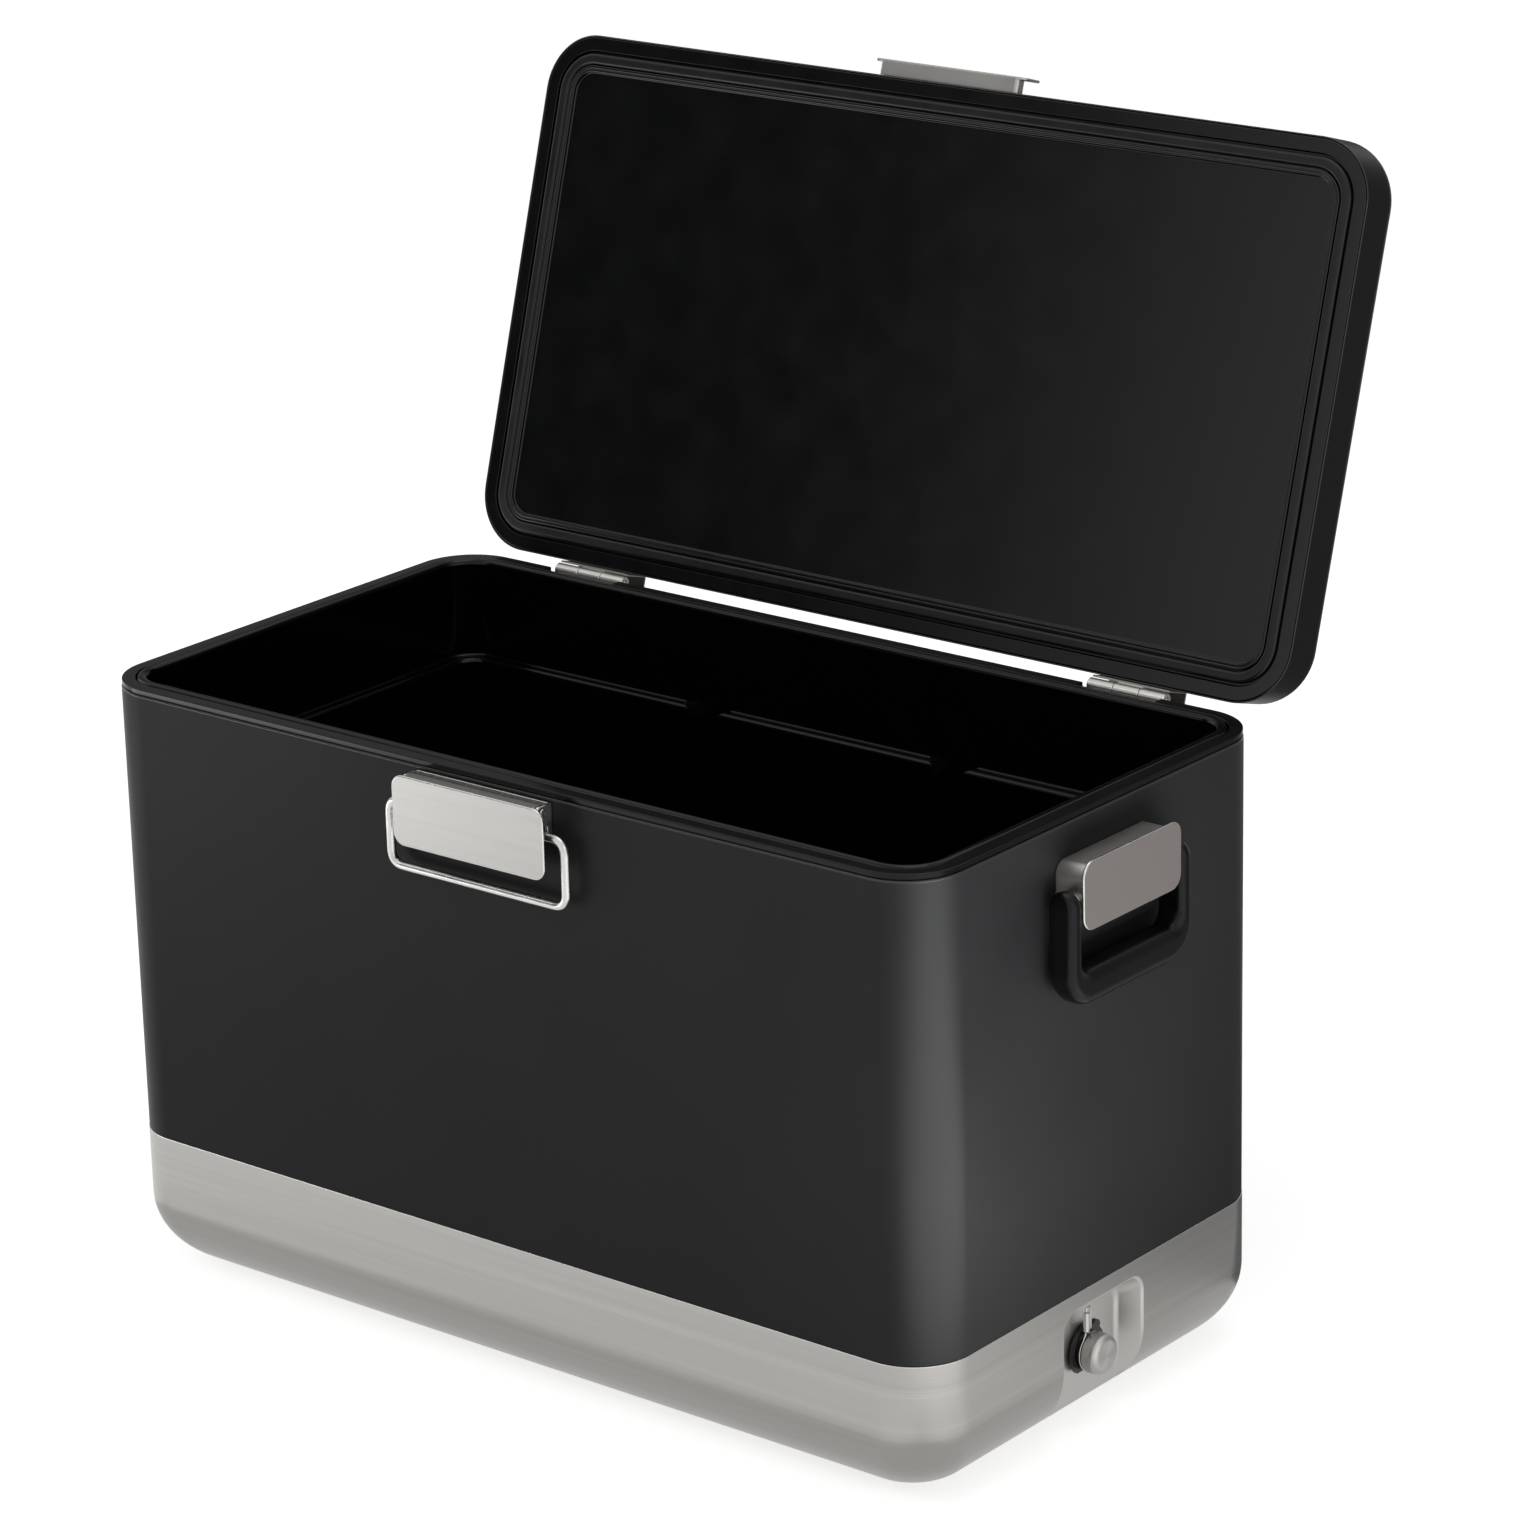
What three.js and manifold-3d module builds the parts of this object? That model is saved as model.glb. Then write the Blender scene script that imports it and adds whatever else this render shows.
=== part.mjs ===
import * as THREE from 'three';
import { mergeVertices } from 'three/addons/utils/BufferGeometryUtils.js';
import Module from 'manifold-3d';

// A steel-cased cooler, standing with its lid open on the hinge stops. X runs along its
// length, -Y is the latch side, +Y the hinge side, +X the drain end, and the origin is the
// centre of its base. All sizes are in millimetres.

// Casing
const bodyLength = 620;
const bodyDepth = 331;
const cornerRadius = 37;
const shellTop = 375;
const seamHeight = 90;
const sheet = 0.9;
const hemRadius = 1.4;
const topFlangeWidth = 7;
const lapHeight = 7;
const joggleHeight = 3;
const panProud = 0.3;
const panEdgeRadius = 46;
const panFloorCornerRadius = 16;
const seatGap = 0.3;
const overrun = 4;

// Rim and liner
const collarSetback = 0.3;
const collarShadow = 0.9;
const collarShadowDepth = 0.9;
const collarRise = 3.8;
const collarChamfer = 0.6;
const collarInner = 8.5;
const collarLip = 1.2;
const collarLipDepth = 9;
const beadRise = 4.8;
const beadCrownAngle = 5;
const linerInset = 16;
const linerWall = 3;
const linerFloor = 28;
const linerFloorRadius = 10;
const linerDraft = 3;
const ledgeHeight = 316;
const ledgeStep = 7;
const ledgeLipRadius = 3;
const ledgeFilletRadius = 1.5;
const channelSpacing = 190;
const channelHalfWidth = 7.8;
const channelFlareRadius = 10;

// Drain
const drainHeight = 42;
const recessDepth = 15;
const recessMouthHalf = 40;
const recessFloorHalf = 31;
const recessMouthTop = 81;
const recessFloorTop = 72;
const recessCorner = 17;
const pocketRadius = 13;
const pocketDepth = 5;
const spoutRadius = 8.5;
const spoutBore = 6.5;
const spoutFlangeRadius = 11.5;
const spoutFlange = 2;
const washerRadius = 13;
const washerThickness = 1;
const bezelRadius = 15.5;
const bezelThickness = 2.6;
const bezelFlatDrop = 10.7;
const bezelLugReach = 18.5;
const bezelLugRadius = 3.4;
const bezelLugShare = 0.16;
const capRadius = 12.3;
const capNeckRadius = 10.6;
const capNeckLength = 2.6;
const capLength = 13;
const capFace = 2.6;
const capEdgeRadius = 2.6;
const capClearance = 0.4;
const sealThickness = 1;
const tetherRadius = 0.55;
const tetherSpacing = 0.9;
const ferruleRadius = 1.9;
const ferruleLength = 12;
const ferruleOffset = 5;
const ferruleClearance = 1.6;
const anchorLoopBend = 1.5;
const anchorLoopEntry = 1.6;
const anchorLoopRise = 2.8;
const anchorLoopReach = 4;

// Lid
const lidGap = 6;
const lidHeight = 34;
const lidEdgeRadius = 11;
const lidOpenAngle = 106.74;
const lidLinerGap = 1.3;
const lidLinerSkirt = 9;
const lidLinerChamfer = 0.6;
const lidBandInset = 9.7;
const lidGrooveDepth = 2.2;
const gasketInset = 11.3;
const gasketWidth = 7.3;
const gasketDrop = 0.9;
const gasketRound = 2.2;
const ridgeInset = 19.1;
const ridgeRadius = 1;
const ridgePitch = 2.1;
const lidPanelRecess = 2;
const lidLinerTop = 5;

// Hinges
const hingeInset = 103;
const hingeLength = 55;
const knuckleGap = 0.4;
const hingeSetback = 6;
const hingeDrop = 5.2;
const knuckleRadius = 4.15;
const hingePinRadius = 1.5;
const pinEnd = 0.4;
const leafSheet = 1.2;
const leafHeight = 15;
const leafGap = 1.1;
const stopReach = 22;
const stopMargin = 2;
const notchMargin = 0.8;

// Draw latch
const leverWidth = 114;
const leverSetdown = 1.7;
const leverHeight = 42.7;
const leverReach = 16;
const leverSheet = 2;
const leverCorner = 8;
const leverEdge = 0.5;
const latchPinRadius = 2.3;
const latchPinOffset = 8;
const cheekInset = 8.6;
const bailSeatDrop = 13.8;
const bailSeatRadius = 5;
const bailRadius = 2.65;
const bailOverhang = 11.75;
const bailCorner = 9;
const bailInsertion = 5;
const earSheet = 2;
const earGap = 0.5;
const earTopRise = 4;
const earFoot = 14.6;
const earFootReach = 4.6;
const earFrontReach = 12.4;
const earStep = 9;
const earNose = 7;
const earRound = 2;
const bracketSheet = 1.5;

// Keeper on the lid
const keeperLip = 5;
const keeperLow = 3;
const keeperBoxHeight = 8;
const keeperPlateHeight = 18;
const keeperReach = 10;
const keeperSheet = 1.8;
const keeperCorner = 4;

// Side handles
const bracketHalf = 44.5;
const bracketSetdown = 19.7;
const bracketHeight = 34;
const bracketDepth = 19;
const bracketCorner = 8;
const bracketWall = 2;
const coverLip = 2.25;
const coverDrop = 3.3;
const coverSheet = 2;
const coverCorner = 9;
const coverEdge = 0.6;
const gripGap = 3;
const gripLeg = 10;
const gripDepth = 19;
const gripStandoff = 3;
const gripPivotRise = 12;
const gripDrop = 61.8;
const gripBar = 22;
const gripOuterCorner = 21;
const gripInnerCorner = 9;
const gripRound = 3.4;
const gripPinRadius = 3;
const gripPinInsertion = 6;
const gripBossRadius = 6.3;

// Facets
const cornerSteps = 4;
const roundSteps = 16;
const arcSteps = 3;
const panSteps = 5;
const bendSteps = 3;
const tubeSides = 10;
const wireSides = 6;
const edgeSteps = 1;
const gripSteps = 2;
const neckLoopSteps = 12;
const anchorLoopSteps = 18;
const bailSteps = 34;

const quarter = Math.PI / 2;
const halfLength = bodyLength / 2;
const halfDepth = bodyDepth / 2;
const collarTop = shellTop + collarRise;
const rimTop = shellTop + beadRise;
const lidPlane = shellTop + lidGap;
const beadOuter = collarInner + seatGap;
const hingeAxisY = halfDepth + hingeSetback;
const hingeAxisZ = lidPlane - hingeDrop;
const hingeSpacing = bodyLength - 2 * hingeInset;
const leverTop = shellTop - leverSetdown;
const latchPinHeight = leverTop - latchPinRadius - seatGap - leverSheet;
const bailSeatHeight = latchPinHeight - bailSeatDrop;
const cheekHalf = leverWidth / 2 - cheekInset;
const bailHalf = leverWidth / 2 + bailOverhang;
const keeperPlateHalf = leverWidth / 2;
const keeperBoxHalf = keeperPlateHalf - keeperLip;
const bracketLow = shellTop - bracketSetdown - bracketHeight;
const gripInnerHalf = bracketHalf + gripGap;
const gripPivotHeight = bracketLow + gripPivotRise;
const gripLow = gripPivotHeight - gripDrop;

const xAxis = new THREE.Vector3(1, 0, 0);
const yAxis = new THREE.Vector3(0, 1, 0);
const zAxis = new THREE.Vector3(0, 0, 1);
const alongX = new THREE.Matrix4().makeBasis(yAxis, zAxis, xAxis);
const alongY = new THREE.Matrix4().makeBasis(xAxis, zAxis, yAxis.clone().negate());

const wasm = await Module();
wasm.setup();

const finishes = {
  paint: { color: 0x2b2c2d, roughness: 0.55, metalness: 0.3 },
  brushed: { color: 0xa5a39e, roughness: 0.35, metalness: 1 },
  plate: { color: 0xc8c5c1, roughness: 0.4, metalness: 1 },
  polished: { color: 0xc9c9c9, roughness: 0.15, metalness: 1 },
  gloss: { color: 0x08090a, roughness: 0.12, metalness: 0 },
  satin: { color: 0x1c1c1b, roughness: 0.45, metalness: 0 },
  rubber: { color: 0x121212, roughness: 0.7, metalness: 0 },
  foam: { color: 0xd8cfae, roughness: 0.9, metalness: 0 },
};

// A mesh of a three.js geometry as a solid that can be cut and joined
function solidOf(geometry) {
  const plain = geometry.clone();
  plain.deleteAttribute('normal');
  plain.deleteAttribute('uv');
  const merged = mergeVertices(plain);
  return new wasm.Manifold(new wasm.Mesh({
    numProp: 3,
    vertProperties: Float32Array.from(merged.attributes.position.array),
    triVerts: Uint32Array.from(merged.index.array),
  }));
}

function geometryOf(solid) {
  const mesh = solid.getMesh();
  const geometry = new THREE.BufferGeometry();
  geometry.setAttribute('position', new THREE.BufferAttribute(mesh.vertProperties, 3));
  geometry.setIndex(Array.from(mesh.triVerts));
  geometry.computeVertexNormals();
  return geometry;
}

function join(first, ...others) {
  return others.reduce((sum, solid) => sum.add(solid), first);
}

function cut(first, ...tools) {
  return tools.reduce((rest, solid) => rest.subtract(solid), first);
}

// One ring of points round a rounded rectangle, anticlockwise from above
function ring(halfX, halfY, radius, z) {
  const points = [];
  const signs = [[1, 1], [-1, 1], [-1, -1], [1, -1]];
  signs.forEach(([signX, signY], corner) => {
    for (let step = 0; step <= cornerSteps; step += 1) {
      const angle = (corner + step / cornerSteps) * quarter;
      const x = signX * (halfX - radius) + radius * Math.cos(angle);
      const y = signY * (halfY - radius) + radius * Math.sin(angle);
      points.push(new THREE.Vector3(x, y, z));
    }
  });
  return points;
}

// A ring that stands in from the body's plan by an inset, with concentric corners
function planRing(inset, z) {
  return ring(halfLength - inset, halfDepth - inset, cornerRadius - inset, z);
}

// Skins rings of equal count; an open run of rings gets a flat cap at each end
function loft(rings, closed = false) {
  const count = rings[0].length;
  const points = rings.flat();
  const faces = [];
  const last = closed ? rings.length : rings.length - 1;
  for (let row = 0; row < last; row += 1) {
    const next = (row + 1) % rings.length;
    for (let column = 0; column < count; column += 1) {
      const side = (column + 1) % count;
      const a = row * count + column;
      const b = row * count + side;
      const c = next * count + side;
      const d = next * count + column;
      faces.push(a, b, c, a, c, d);
    }
  }
  if (!closed) {
    capRing(points, faces, 0, count, false);
    capRing(points, faces, (rings.length - 1) * count, count, true);
  }
  const geometry = new THREE.BufferGeometry().setFromPoints(points);
  geometry.setIndex(signedVolume(points, faces) < 0 ? faces.reverse() : faces);
  return solidOf(geometry);
}

function capRing(points, faces, start, count, forward) {
  const centre = new THREE.Vector3();
  for (let index = 0; index < count; index += 1) {
    centre.addScaledVector(points[start + index], 1 / count);
  }
  points.push(centre);
  const hub = points.length - 1;
  for (let index = 0; index < count; index += 1) {
    const here = start + index;
    const next = start + (index + 1) % count;
    faces.push(hub, forward ? here : next, forward ? next : here);
  }
}

function signedVolume(points, faces) {
  let volume = 0;
  const cross = new THREE.Vector3();
  for (let index = 0; index < faces.length; index += 3) {
    cross.crossVectors(points[faces[index + 1]], points[faces[index + 2]]);
    volume += points[faces[index]].dot(cross);
  }
  return volume;
}

// A closed section of [inset, height] points carried round the body's plan
function frame(section) {
  return loft(section.map(([inset, z]) => planRing(inset, z)), true);
}

// Points of an arc as [inset, height] pairs
function arc(inset, z, radius, from, to) {
  const points = [];
  for (let step = 0; step <= arcSteps; step += 1) {
    const angle = THREE.MathUtils.degToRad(from + (to - from) * step / arcSteps);
    points.push([inset + radius * Math.cos(angle), z + radius * Math.sin(angle)]);
  }
  return points;
}

function block(fromX, toX, fromY, toY, fromZ, toZ) {
  const geometry = new THREE.BoxGeometry(toX - fromX, toY - fromY, toZ - fromZ);
  geometry.translate((fromX + toX) / 2, (fromY + toY) / 2, (fromZ + toZ) / 2);
  return solidOf(geometry);
}

function rodX(radius, fromX, toX, y, z) {
  const geometry = new THREE.CylinderGeometry(radius, radius, toX - fromX, roundSteps);
  geometry.rotateZ(-quarter);
  geometry.translate((fromX + toX) / 2, y, z);
  return solidOf(geometry);
}

function rodY(radius, fromY, toY, x, z) {
  const geometry = new THREE.CylinderGeometry(radius, radius, toY - fromY, roundSteps);
  geometry.translate(x, (fromY + toY) / 2, z);
  return solidOf(geometry);
}

// A round piece on the drain's axis, turned from [radius, distance along X] points
function turnedX(profile) {
  const points = profile.map(([radius, along]) => new THREE.Vector2(radius, along));
  const geometry = new THREE.LatheGeometry(points, roundSteps);
  geometry.rotateZ(-quarter);
  geometry.translate(0, 0, drainHeight);
  return solidOf(geometry);
}

function flatPlate(outline, depth, edge, steps) {
  return new THREE.ExtrudeGeometry(outline, {
    depth: depth - 2 * edge,
    bevelEnabled: edge > 0,
    bevelThickness: edge,
    bevelSize: edge,
    bevelOffset: -edge,
    bevelSegments: steps,
    curveSegments: bendSteps,
  }).translate(0, 0, edge);
}

// An outline drawn in Y and Z, extruded along X
function prismX(outline, fromX, toX, edge = 0, steps = edgeSteps) {
  const geometry = flatPlate(outline, toX - fromX, edge, steps);
  return solidOf(geometry.applyMatrix4(alongX).translate(fromX, 0, 0));
}

// An outline drawn in X and Z, extruded along Y
function prismY(outline, fromY, toY, edge = 0, steps = edgeSteps) {
  const geometry = flatPlate(outline, toY - fromY, edge, steps);
  return solidOf(geometry.applyMatrix4(alongY).translate(0, toY, 0));
}

function roundedBox(half, low, high, radius) {
  const shape = new THREE.Shape();
  shape.absarc(half - radius, high - radius, radius, 0, quarter);
  shape.absarc(radius - half, high - radius, radius, quarter, 2 * quarter);
  shape.absarc(radius - half, low + radius, radius, 2 * quarter, 3 * quarter);
  shape.absarc(half - radius, low + radius, radius, 3 * quarter, 4 * quarter);
  return shape;
}

// A wire of round section along a path
function wire(path, radius, sides, steps) {
  const section = new THREE.Shape();
  section.absarc(0, 0, radius, 0, 4 * quarter);
  return solidOf(new THREE.ExtrudeGeometry(section, {
    steps,
    extrudePath: path,
    bevelEnabled: false,
    curveSegments: sides / 2,
  }));
}

// A path of straight runs with rounded bends
function bentPath(points, radius) {
  const path = new THREE.CurvePath();
  let start = points[0];
  for (let index = 1; index < points.length - 1; index += 1) {
    const corner = points[index];
    const before = corner.clone().sub(points[index - 1]).setLength(radius);
    const after = points[index + 1].clone().sub(corner).setLength(radius);
    const enter = corner.clone().sub(before);
    const leave = corner.clone().add(after);
    path.add(new THREE.LineCurve3(start, enter));
    path.add(new THREE.QuadraticBezierCurve3(enter, corner, leave));
    start = leave;
  }
  path.add(new THREE.LineCurve3(start, points[points.length - 1]));
  return path;
}

// Painted steel band, hemmed over at the top and joggled in at the bottom for the lap
function makeShell() {
  const lapInset = sheet + seatGap - panProud;
  const lip = topFlangeWidth;
  return frame([
    [0, seamHeight + seatGap],
    ...arc(hemRadius, shellTop - hemRadius, hemRadius, 180, 90),
    [lip, shellTop],
    [lip, shellTop - sheet],
    [sheet, shellTop - sheet],
    [sheet, seamHeight + joggleHeight],
    [lapInset + sheet, seamHeight],
    [lapInset + sheet, seamHeight - lapHeight],
    [lapInset, seamHeight - lapHeight],
    [lapInset, seamHeight + seatGap],
  ]);
}

// Rings of the drawn pan, offset inwards from its outside face
function panRings(offset, top) {
  const radius = panEdgeRadius - offset;
  const rings = [];
  for (let step = 0; step <= panSteps; step += 1) {
    const angle = step / panSteps * quarter;
    const inset = panEdgeRadius - radius * Math.sin(angle) - panProud;
    const z = panEdgeRadius - radius * Math.cos(angle);
    const corner = cornerRadius + panProud - offset;
    const plan = THREE.MathUtils.lerp(panFloorCornerRadius, corner, Math.sin(angle));
    rings.push(ring(halfLength - inset, halfDepth - inset, plan, z));
  }
  rings.push(planRing(offset - panProud, top));
  return rings;
}

// The pressed drain recess, open through the bottom, grown by an offset
function makeRecess(offset) {
  const rings = [];
  const floorX = halfLength - recessDepth - offset;
  const mouthX = halfLength + overrun;
  const steps = panSteps;
  for (let step = 0; step <= steps; step += 1) {
    const share = (1 - Math.cos(Math.PI * step / steps)) / 2;
    const half = THREE.MathUtils.lerp(recessFloorHalf, recessMouthHalf, share) + offset;
    const top = THREE.MathUtils.lerp(recessFloorTop, recessMouthTop, share) + offset;
    const x = floorX + recessDepth * step / steps;
    rings.push(archRing(half, top, x));
  }
  rings.push(archRing(recessMouthHalf + offset, recessMouthTop + offset, mouthX + offset));
  return loft(rings);
}

function archRing(half, top, x) {
  const bottom = -2 * recessCorner;
  const middle = (top + bottom) / 2;
  const upright = ring(half, (top - bottom) / 2, recessCorner, 0);
  return upright.map((point) => new THREE.Vector3(x, point.x, middle + point.y));
}

function makePan() {
  const outside = loft(panRings(0, seamHeight));
  const inside = loft(panRings(sheet, seamHeight + overrun));
  const dent = makeRecess(sheet).intersect(outside);
  const hole = rodX(spoutRadius + seatGap, halfLength - 2 * recessDepth, halfLength, 0, drainHeight);
  return cut(join(cut(outside, inside), dent), makeRecess(0), hole);
}

// Rings of the tub's hollow from floor to upper wall, grown by an offset
function tubRings(offset) {
  const rings = [];
  const floorRadius = linerFloorRadius + offset;
  const lowInset = linerInset + ledgeStep + linerDraft - offset;
  const lipInset = linerInset + ledgeStep - offset;
  const wallInset = linerInset - offset;
  const floor = linerFloor - offset;
  const ledge = ledgeHeight - offset;
  const lip = Math.max(ledgeLipRadius - offset, 0);
  const fillet = ledgeFilletRadius + offset;
  const curve = [
    ...arc(lowInset + floorRadius, floor + floorRadius, floorRadius, 270, 180),
    [lipInset, ledge - lip],
  ];
  if (lip > 0) curve.push(...arc(lipInset - lip, ledge - lip, lip, 0, 90).slice(1));
  curve.push(...arc(wallInset + fillet, ledge + fillet, fillet, 270, 180));
  curve.forEach(([inset, z]) => rings.push(planRing(inset, z)));
  return rings;
}

// Channels across both long walls, flared where they meet the ledge
function makeChannel(centre, offset) {
  const half = channelHalfWidth + offset;
  const flare = channelFlareRadius - offset;
  const floor = linerFloor + linerFloorRadius - offset;
  const ledge = ledgeHeight - offset;
  const top = ledgeHeight + ledgeFilletRadius + offset;
  const reach = halfDepth - linerInset + offset;
  const shape = new THREE.Shape();
  shape.moveTo(-half, floor);
  shape.lineTo(half, floor);
  shape.absarc(half + flare, ledge - flare, flare, 2 * quarter, quarter, true);
  shape.lineTo(half + flare, top);
  shape.lineTo(-half - flare, top);
  shape.absarc(-half - flare, ledge - flare, flare, quarter, 0, true);
  return prismY(shape, -reach, reach).translate(centre, 0, 0);
}

// The whole hollow: tub, channels and the drain pocket, grown by an offset
function makeHollow(offset, topRings) {
  const tub = loft([...tubRings(offset), ...topRings]);
  const channels = [-1, 1].map((side) => makeChannel(side * channelSpacing / 2, offset));
  const wall = halfLength - linerInset - ledgeStep - linerDraft;
  const pocket = rodX(pocketRadius + offset, 0, wall + pocketDepth + offset, 0, drainHeight);
  return join(tub, ...channels, pocket);
}

function makeLiner() {
  const bead = (linerInset - beadOuter) / 2;
  const beadLow = shellTop - collarLipDepth;
  const crown = arc(beadOuter + bead, rimTop - bead, bead, 180, 90 + beadCrownAngle);
  const outside = makeHollow(linerWall, [
    planRing(linerInset - linerWall, beadLow),
    planRing(beadOuter, beadLow + linerWall),
    ...crown.map(([inset, z]) => planRing(inset, z)),
  ]);
  const flare = arc(linerInset - bead, rimTop - bead, bead, 0, 90 - beadCrownAngle);
  const mouth = flare[flare.length - 1];
  const inside = makeHollow(0, [
    ...flare.map(([inset, z]) => planRing(inset, z)),
    planRing(mouth[0], rimTop + overrun),
  ]);
  const hole = rodX(spoutRadius + seatGap, 0, halfLength, 0, drainHeight);
  return cut(outside, inside, hole);
}

function makeCollar() {
  const lipBottom = shellTop - collarLipDepth;
  const seat = shellTop + seatGap;
  const body = frame([
    [collarSetback + collarShadowDepth, seat],
    [collarSetback + collarShadowDepth, shellTop + collarShadow],
    [collarSetback, shellTop + collarShadow],
    [collarSetback, collarTop - collarChamfer],
    [collarSetback + collarChamfer, collarTop],
    [collarInner - collarChamfer, collarTop],
    [collarInner, collarTop - collarChamfer],
    [collarInner, lipBottom],
    [collarInner - collarLip, lipBottom],
    [collarInner - collarLip, seat],
  ]);
  const notches = [-1, 1].map((side) => {
    const centre = side * hingeSpacing / 2;
    const half = hingeLength / 2 + notchMargin;
    const front = halfDepth - collarInner + collarLip;
    const low = shellTop;
    return block(centre - half, centre + half, front, halfDepth + overrun, low, rimTop);
  });
  return cut(body, ...notches);
}

// Insulation between the steel and the tub
function makeBodyFoam() {
  const gap = sheet + seatGap;
  const lapInset = 2 * gap - panProud;
  const top = shellTop - collarLipDepth - seatGap;
  const rings = panRings(gap, seamHeight - lapHeight - seatGap);
  rings.push(planRing(lapInset, seamHeight - lapHeight));
  rings.push(planRing(lapInset, top));
  const foam = loft(rings);
  const tubWall = linerWall + seatGap;
  const tub = makeHollow(tubWall, [planRing(linerInset - tubWall, top + overrun)]);
  const recess = makeRecess(gap);
  const hole = rodX(spoutRadius + seatGap, 0, halfLength, 0, drainHeight);
  return cut(foam, tub, recess, hole);
}

const recessFloorX = halfLength - recessDepth;
const washerX = recessFloorX + seatGap;
const bezelX = washerX + washerThickness + seatGap;
const capX = bezelX + bezelThickness + capClearance;
const capEndX = capX + capLength;
const sealX = capEndX - capFace - seatGap - sealThickness;
const spoutEndX = sealX - seatGap;
const pocketX = halfLength - linerInset - ledgeStep - linerDraft + pocketDepth;

function makeSpout() {
  const flangeX = pocketX - seatGap;
  return turnedX([
    [spoutBore, flangeX - spoutFlange],
    [spoutFlangeRadius, flangeX - spoutFlange],
    [spoutFlangeRadius, flangeX],
    [spoutRadius, flangeX],
    [spoutRadius, spoutEndX],
    [spoutBore, spoutEndX],
    [spoutBore, flangeX - spoutFlange],
  ]);
}

function makeWasher() {
  const bore = spoutRadius + seatGap;
  return turnedX([
    [bore, washerX],
    [washerRadius, washerX],
    [washerRadius, washerX + washerThickness],
    [bore, washerX + washerThickness],
    [bore, washerX],
  ]);
}

// Flange nut with a flat bottom and a lug for the tether
function makeBezel() {
  const end = bezelX + bezelThickness;
  const disc = rodX(bezelRadius, bezelX, end, 0, drainHeight);
  const angle = bezelLugShare * 2 * Math.PI;
  const lugY = (bezelLugReach - bezelLugRadius) * Math.cos(angle);
  const lugZ = drainHeight + (bezelLugReach - bezelLugRadius) * Math.sin(angle);
  const lug = rodX(bezelLugRadius, bezelX, end, lugY, lugZ);
  const bore = rodX(spoutRadius + seatGap, bezelX - overrun, end + overrun, 0, drainHeight);
  const low = drainHeight - bezelFlatDrop;
  const flat = block(bezelX - overrun, end + overrun, -2 * bezelRadius, 2 * bezelRadius, 0, low);
  return cut(join(disc, lug), bore, flat);
}

// Screw cap with a necked back end, a rounded face edge and a blind bore
function makeCap() {
  const bore = spoutRadius + capClearance;
  const edge = arc(capRadius - capEdgeRadius, capEndX - capEdgeRadius, capEdgeRadius, 0, 90);
  return turnedX([
    [bore, capX],
    [capNeckRadius, capX],
    [capNeckRadius, capX + capNeckLength],
    [capRadius, capX + capNeckLength],
    ...edge,
    [0, capEndX],
    [0, capEndX - capFace],
    [bore, capEndX - capFace],
    [bore, capX],
  ]);
}

function makeCapSeal() {
  return rodX(spoutRadius, sealX, sealX + sealThickness, 0, drainHeight);
}

const neckLoopX = capX + capNeckLength / 2;
const ferruleX = bezelX + bezelThickness + seatGap + ferruleRadius;
const ferruleLow = drainHeight + capRadius + ferruleClearance;

function makeFerrule() {
  const geometry = new THREE.CylinderGeometry(ferruleRadius, ferruleRadius, ferruleLength, roundSteps / 2);
  geometry.rotateX(quarter);
  geometry.translate(ferruleX, -ferruleOffset, ferruleLow + ferruleLength / 2);
  return solidOf(geometry);
}

// Wire round the cap's neck, both ends rising to the ferrule
function makeNeckLoop() {
  const radius = capNeckRadius + seatGap + tetherRadius;
  const lean = Math.asin(ferruleOffset / radius);
  const end = ferruleLow - seatGap;
  const start = new THREE.Vector3(ferruleX, -ferruleOffset - tetherSpacing, end);
  const finish = new THREE.Vector3(ferruleX, -ferruleOffset + tetherSpacing, end);
  const rise = new THREE.Vector3(0, 0, -2 * tetherRadius);
  const points = [start, start.clone().add(rise)];
  for (let step = 1; step < neckLoopSteps; step += 1) {
    const angle = quarter + lean + step / neckLoopSteps * 4 * quarter;
    const y = radius * Math.cos(angle);
    const z = drainHeight + radius * Math.sin(angle);
    points.push(new THREE.Vector3(neckLoopX, y, z));
  }
  points.push(finish.clone().add(rise), finish);
  return wire(new THREE.CatmullRomCurve3(points), tetherRadius, wireSides, 2 * neckLoopSteps);
}

// Wire from the ferrule's top, over and down into the bezel
function makeAnchorLoop() {
  const top = ferruleLow + ferruleLength;
  const frontX = bezelX + bezelThickness + seatGap;
  const low = drainHeight + bezelRadius - anchorLoopEntry;
  const y = anchorLoopReach - ferruleOffset;
  const points = [
    new THREE.Vector3(ferruleX, -ferruleOffset, top + seatGap),
    new THREE.Vector3(ferruleX, -ferruleOffset, top + anchorLoopRise),
    new THREE.Vector3(ferruleX, y, top + anchorLoopRise),
    new THREE.Vector3(ferruleX, y, low),
    new THREE.Vector3(frontX, y, low),
  ];
  return wire(bentPath(points, anchorLoopBend), tetherRadius, wireSides, anchorLoopSteps);
}

// Painted lid pan, hem edge down, in the lid's own frame with its hem plane at zero
function lidRings(offset, low) {
  const radius = lidEdgeRadius - offset;
  const top = lidHeight - lidEdgeRadius;
  const curve = [[offset, low], ...arc(lidEdgeRadius, top, radius, 180, 90)];
  return curve.map(([inset, z]) => planRing(inset, z));
}

function makeLidShell() {
  return cut(loft(lidRings(0, 0)), loft(lidRings(sheet, -overrun)));
}

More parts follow.
